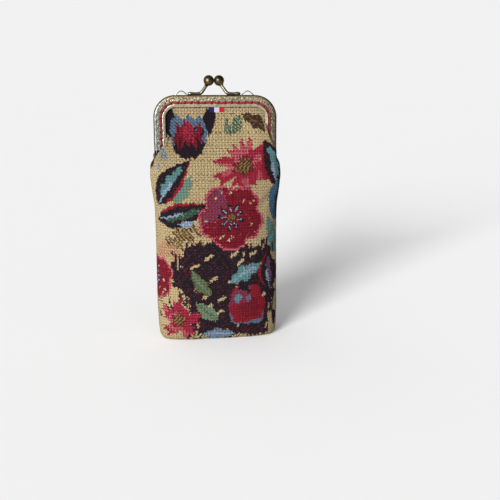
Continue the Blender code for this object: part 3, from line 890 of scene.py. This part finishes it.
def cloth_path(side, edge, height):
    """Half of one level of the cloth, from the middle to its edge, in millimetres."""
    width, depth, squareness = body_at(height)
    if (side, edge) == (FRONT, LEFT):
        width = width - TUCK * math.exp(-(((height - TUCK_HEIGHT) / TUCK_REACH) ** 2))
    leg, lap_top = LAPS[(side, edge)]
    outer, inner = HALF_WIDTH / MM, (HALF_WIDTH - FACE) / MM
    end_depth = float(np.interp(height, (*SEAM_HEIGHTS, leg), (*SEAM_GAPS, LEG_GAP)))
    shares = np.linspace(0, 1, PATH_SAMPLES)
    bag = even_path(*round_path(width, depth, squareness, min(end_depth, depth * 0.9)), shares)[:2]
    if height < BAG_TOP:
        return bag
    heights = (BAG_TOP, leg, *[leg + share * (lap_top - leg) for share in LAP_SHARES], lap_top, lap_top + 1)
    reach = np.interp(height, heights, (width, outer, *LAP_REACHES, inner + 0.8, inner - 0.5))
    lap_depth = flow(height, (BAG_TOP, leg, lap_top - 2, lap_top + 1, 200), (depth * 0.8, 8.1, 7.0, 5.2, 5.2))
    end_depth -= float(flow(height, (leg, lap_top - 0.5, lap_top + 1, 200), (0.0, 0.0, 1.2, 1.2)))
    hem = 1.6 * ease(leg - 1, leg + 2, height)
    lap = even_path(*lap_path(depth, float(lap_depth), float(reach), end_depth, hem), shares)[:2]
    path = between(bag, lap, ease(BAG_TOP, 135, height))
    if height < lap_top - 0.5:
        return path
    tongue = even_path(*tongue_path(depth, tongue_reach(height, lap_top)), shares)[:2]
    return between(path, tongue, ease(lap_top, lap_top + 1.6, height))


def lining_path(_side, _edge, height):
    """Half of one level of the lining: inside the padding below, and flat behind the cloth above."""
    width, depth, squareness = body_at(height)
    inset = (CLOTH + PADDING + 2 * LAYER_GAP) / MM + 0.6
    edge_depth = LINING_DEPTH / MM
    shares = np.linspace(0, 1, PATH_SAMPLES)
    opening = flow(height, (119, 123, 128, 134, 200), (0.15, 1.2, 1.7, edge_depth, edge_depth))
    end_depth = 0.15 if height < 119 else float(opening)
    inner_depth = max(depth - inset, edge_depth + 0.02)
    plan = round_path(width - inset, inner_depth, squareness, min(end_depth, inner_depth * 0.95))
    bag = even_path(*plan, shares)[:2]
    if height < BAG_TOP:
        return bag
    across = np.linspace(0, tongue_reach(height, 128) if height > 140 else TONGUE_REACH / MM, PATH_SAMPLES)
    deep = edge_depth + max(depth - inset - edge_depth, 0) * (1 - ease(15, 33, across))
    flat = even_path(across, deep, shares)[:2]
    return between(bag, flat, ease(BAG_TOP, 136, height))


def column_shares(length):
    """Even threads in the middle of a level, and the rest of them spread out to its edge."""
    even = min(EVEN_COLUMNS * THREAD / MM, 0.85 * length)
    near = np.linspace(0, even, EVEN_COLUMNS + 1)
    far = np.linspace(even, length, HALF_COLUMNS - EVEN_COLUMNS + 1)[1:]
    return np.concatenate([near, far]) / length


def panel_grid(side, path, top, step=1):
    """Points of a panel from the seam under the base to its top, and their places in the flat cloth."""
    rows, flats = [], []
    levels = [(0.0, (k + 0.2) / (BASE_ROWS + 0.2)) for k in range(0, BASE_ROWS, step)]
    wall_rows = int(round(top / (ROW_STEP * step)))
    levels += [(height / MM, 1.0) for height in np.linspace(0, top, wall_rows + 1)]
    for height, base_share in levels:
        halves, runs = [], []
        for edge in (LEFT, RIGHT):
            across, deep = path(side, edge, height)
            across = across * (1 - BASE_PULL + BASE_PULL * base_share)
            deep = deep * base_share
            length = np.hypot(np.diff(across), np.diff(deep)).sum()
            shares = column_shares(length)[::step]
            x, y, run = even_path(across, deep, shares)
            pull = SEAM_PULL * np.exp(-((y / SEAM_REACH) ** 2)) * base_share * (x > 20)
            x = x - pull * ease(127, 119, height)
            halves.append(np.stack([edge * x, side * y, np.full(len(x), height)], axis=-1))
            runs.append(edge * shares * run)
        rows.append(np.concatenate([halves[0][:0:-1], halves[1]]))
        flats.append(np.concatenate([runs[0][:0:-1], runs[1]]))
    points = np.array(rows) * MM
    middle = points[:, points.shape[1] // 2]
    risen = np.concatenate([[0], np.cumsum(np.linalg.norm(np.diff(middle, axis=0), axis=1))])
    risen = risen - risen[len(levels) - wall_rows - 1]
    flats = np.array(flats) * MM
    return points, np.stack([flats, np.broadcast_to(risen[:, None], flats.shape)], axis=-1)


def outward(points, side):
    """Unit normals of a panel's grid."""
    normal = np.cross(np.gradient(points, axis=1), np.gradient(points, axis=0)) * -side
    return normal / np.maximum(np.linalg.norm(normal, axis=-1, keepdims=True), 1e-12)


def soft_waves(flat, side):
    """The slack of filled cloth, away from its seams: a height for each point."""
    x, z = flat[..., 0] / MM, flat[..., 1] / MM
    reach = np.abs(x) / np.abs(x).max(axis=1, keepdims=True)
    slack = ease(1.0, 0.8, reach) * ease(-12, 4, z) * ease(168, 140, z)
    broad = soft_noise(x, z, 23, 11 + side) - 0.5
    folds = soft_noise(x + 0.4 * z, z * 0.55, 9, 31 + side) - 0.5
    return (1.1 * broad + 0.45 * folds) * slack * MM


def spread(values, rows, columns, shape):
    """Values at some rows and columns of a grid, spread smoothly over all of it."""
    across = np.stack([flow(np.arange(shape[1]), columns, line) for line in values])
    return np.stack([flow(np.arange(shape[0]), rows, line) for line in across.T], axis=-1)


def settled(points, side):
    """The cloth after a short simulation: slack, pushed out by the padding, held at its seams and frame."""
    rows, columns = [np.unique(np.append(np.arange(0, n, SETTLE_STEP), n - 1)) for n in points.shape[:2]]
    coarse = points[np.ix_(rows, columns)]
    numbers = np.arange(coarse[..., 0].size).reshape(coarse.shape[:2])
    mesh = bpy.data.meshes.new("settling")
    mesh.from_pydata(coarse.reshape(-1, 3).tolist(), [], grid_quads(numbers)[:, ::-side].tolist())
    sheet = bpy.data.objects.new("settling", mesh)
    bpy.context.scene.collection.objects.link(sheet)
    held = np.maximum(ease(*HELD_ABOVE, coarse[..., 2]), ease(*HELD_BELOW, coarse[..., 2]))
    held[:, :2] = held[:, -2:] = 1
    group = sheet.vertex_groups.new(name="held")
    for number, share in enumerate(held.ravel()):
        group.add([number], float(share), "REPLACE")
    cloth = sheet.modifiers.new("cloth", "CLOTH")
    for name, value in SETTLING.items():
        setattr(cloth.settings, name, value)
    cloth.settings.effector_weights.gravity = 0
    cloth.collision_settings.use_collision = False
    for number in range(1, SETTLE_FRAMES + 1):
        bpy.context.scene.frame_set(number)
    moved = np.empty(coarse.size, np.float32)
    sheet.evaluated_get(bpy.context.evaluated_depsgraph_get()).data.vertices.foreach_get("co", moved)
    bpy.data.objects.remove(sheet)
    bpy.data.meshes.remove(mesh)
    bpy.context.scene.frame_set(1)
    shift = moved.reshape(coarse.shape) - coarse
    size = np.linalg.norm(shift, axis=-1, keepdims=True)
    shift *= np.minimum(1, SETTLE_LIMIT / np.maximum(size, 1e-9))
    shifts = [spread(shift[..., k], rows, columns, points.shape) for k in range(3)]
    return points + np.stack(shifts, axis=-1)


def cloth_surface(side):
    """The outer surface of one side of the pouch, and its places in the flat cloth."""
    points, flat = panel_grid(side, cloth_path, TONGUE_TOP)
    points = points + outward(points, side) * soft_waves(flat, side)[..., None]
    points = settled(points, side)
    return points, flat


def bend_with_frame(panel, side, layer):
    """Bakes a sheet's placement into its points, and makes it stand for its layer's two CAD nodes."""
    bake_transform(panel)
    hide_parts(f"{WORDS[side]}_{layer}_lower", f"{WORDS[side]}_{layer}_upper")


def cloth_panel(side, points, flat):
    """One side of the pouch, front or back, from the base seam up into the frame."""
    normal = outward(points, side)
    inner = points - normal * CLOTH
    row, column = np.indices(points.shape[:2])
    relief = np.where((row + column) % 2, RELIEF, -RELIEF)
    outer = points + normal * relief[..., None]
    outer[..., 2] = np.maximum(outer[..., 2], 0)
    inner[..., 2] = np.maximum(inner[..., 2], 0.1 * MM)
    panel = closed_sheet(f"{WORDS[side]}_tapestry_panel", outer, inner, MATERIALS["tapestry"])
    middles = (flat[:-1, :-1] + flat[:-1, 1:] + flat[1:, 1:] + flat[1:, :-1]) / 4
    yarn = draft(side, middles[..., 0], middles[..., 1]).ravel()
    edge_yarn = np.full(len(panel.data.polygons) - 2 * len(yarn), YARN_NUMBER["tan"])
    paint(panel, "yarn", np.concatenate([yarn, yarn, edge_yarn]), "FACE")
    bend_with_frame(panel, side, "fabric")


def padding_panel(side, points):
    """The felt between the cloth and the lining."""
    middle = points[:, points.shape[1] // 2, 2]
    points = points[: np.argmax(middle > PADDING_TOP) : 2, ::2]
    normal = outward(points, side)
    outer = points - normal * (CLOTH + LAYER_GAP)
    inner = points - normal * (CLOTH + LAYER_GAP + PADDING)
    panel = closed_sheet(f"{WORDS[side]}_felt_padding", outer, inner, MATERIALS["padding_felt"])
    hand_in(panel, "pouch", "padding_felt", f"{WORDS[side]}_padding")


def lining_panel(side):
    """The dark cloth inside, from the base seam up into the frame."""
    points, _ = panel_grid(side, lining_path, TONGUE_TOP, step=2)
    points[..., 2] += ease(6 * MM, 0, points[..., 2]) * (CLOTH + PADDING + 2 * LAYER_GAP)
    inner = points - outward(points, side) * LINING
    panel = closed_sheet(f"{WORDS[side]}_lining_panel", points, inner, MATERIALS["lining_cloth"])
    bend_with_frame(panel, side, "lining")


# ---------------------------------------------------------------- the frame
def arch_length(inset, end_height):
    leg = FRAME_TOP - CORNER - end_height
    return 2 * leg + (CORNER - inset) * math.pi + 2 * (HALF_WIDTH - CORNER)


def arch_point(distance, inset, end_height):
    """A point of the arch this far inside the frame's edge, and the way inwards from it."""
    length = arch_length(inset, end_height)
    if distance > length / 2:
        (x, z), (way_x, way_z) = arch_point(length - distance, inset, end_height)
        return (-x, z), (-way_x, way_z)
    radius = CORNER - inset
    leg = FRAME_TOP - CORNER - end_height
    arc = radius * math.pi / 2
    if distance < leg:
        return (HALF_WIDTH - inset, end_height + distance), (-1, 0)
    if distance > leg + arc:
        return (HALF_WIDTH - CORNER - (distance - leg - arc), FRAME_TOP - inset), (0, -1)
    turn = (distance - leg) / radius
    way = (-math.cos(turn), -math.sin(turn))
    return (HALF_WIDTH - CORNER - radius * way[0], FRAME_TOP - CORNER - radius * way[1]), way


STITCH_PITCH = arch_length(STITCH_INSET, STITCH_END) / STITCHES


def stitch_place(mark):
    """A point on the stitch row, this many stitches from its start, and the way inwards."""
    return arch_point(mark * STITCH_PITCH, STITCH_INSET, STITCH_END)


def section():
    """The sheet's section, once round: distance in from the outer edge, depth and share of embossing."""
    knee = FRAME_DEPTH - EDGE_ROUND
    edge = 0.28 * MM
    marks = [(0.0, HALF_GAP, 0), (0.0, knee * 0.5, 0), (0.0, knee, 0)]
    for turn in np.radians(np.linspace(165, 90, 6)):
        marks.append((EDGE_ROUND * (1 + math.cos(turn)), knee + EDGE_ROUND * math.sin(turn), 0))
    marks += [(inset, FRAME_DEPTH, 1) for inset in np.arange(EDGE_ROUND + BAND_STEP, FACE - edge, BAND_STEP)]
    for turn in np.radians((60, 20, -20)):
        marks.append((FACE - edge * (1 - math.cos(turn)), FRAME_DEPTH - edge + edge * math.sin(turn), 0))
    marks.append((FACE - edge, FRAME_DEPTH - SHEET, 0))
    inner = EDGE_ROUND - SHEET
    for turn in np.radians((90, 120, 150, 180)):
        marks.append((EDGE_ROUND + inner * math.cos(turn), knee + inner * math.sin(turn), 0))
    marks += [(SHEET, HALF_GAP + SHEET, 0), (REAR_LIP, HALF_GAP + SHEET, 0), (REAR_LIP, HALF_GAP, 0)]
    return np.array(marks)


def embossing(along, inset, side):
    """Small leafy lumps on the outer band, a bead beside the stitches, and how worn each place is."""
    a, b = along / MM, inset / MM
    lumps = soft_noise(a + 0.8 * soft_noise(a, b, 2.2, 5), b, 0.62, 3 + side)
    fine = soft_noise(a, b, 0.38, 9 + side)
    band = ease(0.7, 1.5, b) * ease(4.7, 4.2, b)
    inner = ease(5.6, 6.1, b)
    bead = np.exp(-(((b - 6.5) / 0.45) ** 2))
    height = band * (0.17 * (lumps - 0.45) + 0.10 * (fine - 0.5)) + 0.16 * bead * inner
    height -= 0.10 * np.exp(-(((b - 5.0) / 0.55) ** 2))
    worn = 0.25 + band * (0.62 * (lumps - 0.18) + 0.3 * (fine - 0.5)) + inner * (0.38 + 0.15 * (fine - 0.5))
    worn = worn + 0.12 * (1 - band) * (1 - inner)
    return height * MM, worn


def arch_mesh(side):
    """The swept channel of one frame half, and how worn it is at each point."""
    marks = section()
    inset, depth, embossed = marks.T
    holes = np.array([stitch_place(i)[0] for i in range(STITCHES + 1)])
    edge = (depth < FRAME_DEPTH - 0.1 * MM) & (inset < EDGE_ROUND)
    points, worn = [], []
    for along in np.linspace(0, arch_length(0, LEG_END), ARCH_STEPS + 1):
        (x, z), (way_x, way_z) = arch_point(along, 0, LEG_END)
        across, up = x + way_x * inset, z + way_z * inset
        apart = np.hypot(across[:, None] - holes[:, 0], up[:, None] - holes[:, 1]).min(axis=1)
        dip = np.exp(-((apart / HOLE_RADIUS) ** 2))
        raised, wear_and_lit_side = embossing(np.full(len(marks), along), inset, side)
        out = depth + embossed * (raised - HOLE_DEPTH * dip)
        points.append(np.stack([across, side * out, up], axis=-1))
        # The frame's outer side and its rounded edge get 0.2, so they come out darker than the rest of the
        # plain sheet at 0.45.
        worn.append(np.where(embossed > 0, wear_and_lit_side - 0.5 * dip, np.where(edge, 0.2, 0.45)))
    faces = tube_faces(ARCH_STEPS + 1, len(marks))
    return (np.concatenate(points).tolist(), faces), np.concatenate(worn)


def ear(side, edge):
    """A hinge ear: a plate, round about the rivet, with a neck up into the leg. The back ones are inside."""
    outer = HALF_WIDTH - (0 if side == FRONT else SHEET + 0.05 * MM)
    soft = 0.12 * MM
    neck, neck_top = -4.5 * MM, LEG_END + 1.6 * MM
    outline = [(-0.4 * MM, neck_top), (neck, neck_top), (neck, LEG_END - 0.8 * MM)]
    for turn in np.radians(np.linspace(190, 460, 28)):
        outline.append((EAR_RADIUS * math.cos(turn), HINGE_HEIGHT + EAR_RADIUS * math.sin(turn)))
    middle = np.array([-1.2 * MM, HINGE_HEIGHT + 1.0 * MM])
    points = []
    for x, shrink in ((outer - SHEET, 0.92), (outer - SHEET + soft, 1), (outer - soft, 1), (outer, 0.92)):
        points += [(edge * x, -side * y, z) for y, z in (np.array(outline) - middle) * shrink + middle]
    return points, tube_faces(4, len(outline))


def frame_half(side):
    arch, worn = arch_mesh(side)
    ears = [ear(side, edge) for edge in (LEFT, RIGHT)]
    points, faces = joined([arch, *ears])
    half = make_object(f"{WORDS[side]}_embossed_frame", points, faces, MATERIALS["frame_brass"])
    paint(half, "worn", np.concatenate([worn, np.full(len(points) - len(worn), 0.3)]), "POINT")
    hand_in(half, f"{WORDS[side]}_half", "frame_brass", f"{WORDS[side]}_frame")


# ---------------------------------------------------------------- the thread
def stitch_run(side, low, high):
    """Two twisted plies along the stitch row, from depth low at each hole to high between holes, with a
    painted shade for each point that is full at the holes.
    """
    parts, dip_shades = [], []
    for start in (0, math.pi):
        line = []
        for mark in np.arange(0, STITCHES * STITCH_POINTS + 1) / STITCH_POINTS:
            (x, z), (way_x, way_z) = stitch_place(mark)
            share = mark % 1
            lift = min(1, math.sin(math.pi * share) * 2.2) ** 0.8 if 0 < share < 1 else 0
            twist = start + mark * 2 * math.pi * PLY_TURNS
            wander = THREAD_WANDER * math.sin(mark * 2.1) + PLY_APART * math.cos(twist)
            depth = low + (high - low) * lift + PLY_APART * math.sin(twist)
            line.append((x + way_x * wander, side * depth, z + way_z * wander))
            dip_shades += [1 - lift] * THREAD_SIDES
        parts.append(bar(line, PLY, sides=THREAD_SIDES))
    return joined(parts), dip_shades


def stitch_thread(side):
    """The thread's visible run on the face, and its run over the lining inside."""
    face_run, face_dip_shades = stitch_run(side, FRAME_DEPTH - 0.25 * MM, FRAME_DEPTH + 0.62 * MM)
    inside = LINING_DEPTH - LINING
    inner_run, inner_dip_shades = stitch_run(side, inside + 0.2 * MM, inside - 0.5 * MM)
    points, faces = joined([face_run, inner_run])
    thread = make_object(f"{WORDS[side]}_stitching", points, faces, MATERIALS["red_thread"], 80)
    paint(thread, "dip", face_dip_shades + inner_dip_shades, "POINT")
    hand_in(thread, f"{WORDS[side]}_half", "red_thread", f"{WORDS[side]}_stitch_thread")


# ---------------------------------------------------------------- clasp, loops, rivets and tab
def clasp_parts(side):
    """A bent arm from its flat foot on the frame's top to a collared ball. The balls pass side by side."""
    across = -side
    middle = Vector((across * BALL + BALL_SHIFT, across * MM, BALL_HEIGHT))
    seat = side * FRAME_DEPTH / 2
    foot = FRAME_TOP + 0.9 * MM
    # Across from the clasp's middle, share of the seat's depth, and height over the foot
    marks = (
        (17.9, 1.0, 0),
        (14.0, 1.0, 0),
        (10.6, 1.0, 0),
        (9.2, 0.98, 0.3),
        (8.2, 0.90, 1.1),
        (7.2, 0.66, 2.4),
        (6.1, 0.34, 4.1),
        (5.1, 0.06, 5.75),
    )
    marks = [(across * x * MM + BALL_SHIFT, seat * share, foot + z * MM) for x, share, z in marks]
    line = smooth_line(marks, 44)
    towards = (middle - Vector(line[-1])).normalized()
    places, shares = (0, 0.04, 0.3, 0.5, 0.75, 1), np.linspace(0, 1, len(line))
    widths = flow(shares, places, (0.7, 1.0, 1.0, 1.15, 1.15, 1.1)) * MM
    depths = flow(shares, places, (1.1, 1.45, 1.4, 1.3, 1.15, 1.05)) * MM
    arm = make_object(f"{WORDS[side]}_bent_arm", *bar(line, widths, depths, 20), MATERIALS["arm_brass"])
    hand_in(arm, f"{WORDS[side]}_half", "clasp_brass", f"{WORDS[side]}_clasp_arm")
    profile = [(-BALL - 0.55 * MM, 1.15 * MM), (-BALL - 0.4 * MM, 1.4 * MM), (-BALL, 1.5 * MM)]
    for turn in np.radians(np.linspace(28, 176, 26)):
        seam = 1.012 if abs(turn - math.pi / 2) < 0.09 else 1
        profile.append((-BALL * math.cos(turn), BALL * math.sin(turn) * seam))
    body = turned(profile, middle, towards)
    ball = make_object(f"{WORDS[side]}_kiss_ball", *body, MATERIALS["clasp_brass"])
    hand_in(ball, f"{WORDS[side]}_half", "clasp_brass", f"{WORDS[side]}_clasp_ball")


def chain_loop(edge):
    """A thin wire arch on the back half's top, with its ends set into the frame."""
    half = [(1.1, 2.45), (2.4, 1.5), (4.0, 0.1), (4.4, -0.5)]
    marks = [(-x, z) for x, z in half[::-1]] + [(0, 2.68)] + half
    line = [(LOOP_MIDDLE * edge + x * MM, LOOP_DEPTH, FRAME_TOP + z * MM) for x, z in marks]
    wire = bar(smooth_line(line, 40), WIRE, sides=12)
    loop = make_object(f"{EDGE_WORDS[edge]}_wire_loop", *wire, MATERIALS["wire"])
    hand_in(loop, "back_half", "clasp_brass", f"{EDGE_WORDS[edge]}_chain_loop")


def hinge_rivet(edge):
    """A domed head outside, a shank through both ears and a small head inside."""
    inside = HALF_WIDTH - 3 * SHEET - 0.3 * MM
    start = HALF_WIDTH + 0.1 * MM
    profile = [(inside - 0.6 * MM, 1.2 * MM), (inside - 0.5 * MM, 1.8 * MM), (inside, 1.9 * MM)]
    profile += [(inside, SHANK), (start, SHANK), (start, RIVET_HEAD)]
    for turn in np.radians(np.linspace(10, 80, 7)):
        profile.append((start + 0.75 * MM * math.sin(turn), RIVET_HEAD * math.cos(turn)))
    body = turned(profile, (0, 0, HINGE_HEIGHT), (edge, 0, 0))
    rivet = make_object(f"{EDGE_WORDS[edge]}_pivot_rivet", *body, MATERIALS["clasp_brass"], 30)
    hand_in(rivet, "pouch", "clasp_brass", f"{EDGE_WORDS[edge]}_hinge_rivet")


def striped_tab():
    """A folded ribbon under the frame's top: two layers with a round fold at the bottom."""
    front, back = -TAB_LOW.y, -TAB_HIGH.y - 0.15 * MM
    radius = (front - back) / 2
    drop = np.linspace(TAB_HIGH.z, TAB_END + radius, 14)
    fold = np.radians(np.linspace(0, 180, 9))
    path = [(front + 0.12 * MM * math.sin(math.pi * k / 13), z) for k, z in enumerate(drop)]
    for turn in fold[1:-1]:
        path.append(((front + back) / 2 + radius * math.cos(turn), TAB_END + radius * (1 - math.sin(turn))))
    path = np.array(path + [(back, z) for z in drop[::-1]])
    ahead = np.gradient(path, axis=0)
    normal = np.stack([-ahead[:, 1], ahead[:, 0]], axis=-1) / np.linalg.norm(ahead, axis=1)[:, None]
    shares = np.linspace(0, 1, TAB_COLUMNS + 1)
    across = TAB_LOW.x + TAB_SHIFT + (TAB_HIGH.x - TAB_LOW.x - 0.3 * MM) * shares
    ripple = 0.1 * MM * np.sin(5 * shares)
    sheets = []
    for line in (path, path - normal * RIBBON):
        depths = -(line[:, :1] + ripple)
        sheets.append(np.stack(np.broadcast_arrays(across, depths, line[:, 1:]), axis=-1))
    tab = closed_sheet("striped_ribbon_tab", *sheets, MATERIALS["ribbon"])
    hand_in(tab, "front_half", "ribbon", "ribbon_tab")


# ---------------------------------------------------------------- floor, light and camera
def floor():
    """A wide pale floor, as bright under the key light as the studio behind it."""
    finish = Finish("pale_paper", roughness=1.0, specular=0.0)
    tones = [(0.3, grey_of(PAPER_ALBEDO - 0.002)), (0.7, grey_of(PAPER_ALBEDO + 0.002))]
    finish.colour(finish.ramp(finish.noise(30, 2), tones))
    places = np.linspace(-FLOOR_HALF, FLOOR_HALF, 9)
    numbers = np.arange(places.size**2).reshape(places.size, places.size)
    points = [(x, y, -FLOOR_GAP) for y in places for x in places]
    make_object("floor", points, grid_quads(numbers).tolist(), finish.material)


def lights():
    """A pale studio, with a sky that is brighter on the left, and one soft key from the front left."""
    world = bpy.data.worlds.new("studio")
    world.use_nodes = True
    tree = world.node_tree
    seen = tree.nodes["Background"]
    seen.inputs["Color"].default_value = grey_of(PAPER)
    sky = PAPER / PAPER_ALBEDO * SKY_SHARE
    place = add_node(tree, "ShaderNodeTexCoord").outputs["Generated"]
    across = add_node(tree, "ShaderNodeSeparateXYZ", {0: place}).outputs[0]
    lean = {0: across, 1: -SKY_LEAN * sky, 2: sky}
    level = add_node(tree, "ShaderNodeMath", lean, operation="MULTIPLY_ADD").outputs[0]
    glow = add_node(tree, "ShaderNodeBackground", {"Color": grey_of(1.0), "Strength": level})
    ray = add_node(tree, "ShaderNodeLightPath").outputs["Is Camera Ray"]
    mix = add_node(tree, "ShaderNodeMixShader", {0: ray, 1: glow.outputs[0], 2: seen.outputs[0]})
    tree.links.new(mix.outputs[0], tree.nodes["World Output"].inputs[0])
    bpy.context.scene.world = world
    lamp = bpy.data.lights.new("key", "SUN")
    lamp.angle = KEY_SOFTNESS
    lamp.energy = PAPER / PAPER_ALBEDO * (1 - SKY_SHARE) * math.pi / math.sin(KEY_RISE)
    key = bpy.data.objects.new("key", lamp)
    key.rotation_euler = (math.pi / 2 - KEY_RISE, 0, KEY_SWING)
    bpy.context.scene.collection.objects.link(key)
    bpy.context.scene.view_settings.view_transform = "Standard"


def camera():
    data = bpy.data.cameras.new("camera")
    data.lens = 50
    data.sensor_width = 36
    holder = bpy.data.objects.new("camera", data)
    across, ahead = CAMERA_AWAY * math.sin(CAMERA_TURN), CAMERA_AWAY * math.cos(CAMERA_TURN)
    holder.location = (-across, -ahead, CAMERA_HEIGHT)
    holder.rotation_euler = (math.pi / 2 - CAMERA_PITCH, 0, -(CAMERA_TURN + CAMERA_ASIDE))
    bpy.context.scene.collection.objects.link(holder)
    bpy.context.scene.camera = holder


# ---------------------------------------------------------------- everything together
# Three shades of brass, dark to pale: the clasp's balls and the rivets, its arms, and the wire
BALL_BRASS = ((0.14, 0.13, 0.11), (0.27, 0.23, 0.17), (0.48, 0.40, 0.26))
ARM_BRASS = ((0.27, 0.26, 0.21), (0.40, 0.38, 0.31), (0.54, 0.51, 0.42))
WIRE_BRASS = ((0.40, 0.39, 0.36), (0.60, 0.59, 0.55), (0.78, 0.77, 0.73))
MATERIALS = {
    "tapestry": tapestry_cloth(),
    "lining_cloth": plain_cloth("lining_cloth", (0.23, 0.10, 0.14)),
    "padding_felt": felt("padding_felt", (0.62, 0.60, 0.56)),
    "frame_brass": frame_brass(),
    "clasp_brass": smooth_brass("clasp_brass", 150, BALL_BRASS),
    "arm_brass": smooth_brass("arm_brass", 170, ARM_BRASS),
    "wire": smooth_brass("wire_brass", 170, WIRE_BRASS),
    "red_thread": red_thread(),
    "ribbon": ribbon_cloth(),
}

for side in (FRONT, BACK):
    surface, flat = cloth_surface(side)
    cloth_panel(side, surface, flat)
    padding_panel(side, surface)
    lining_panel(side)
    frame_half(side)
    stitch_thread(side)
    clasp_parts(side)
for edge in (LEFT, RIGHT):
    chain_loop(edge)
    hinge_rivet(edge)
striped_tab()
floor()
lights()
camera()
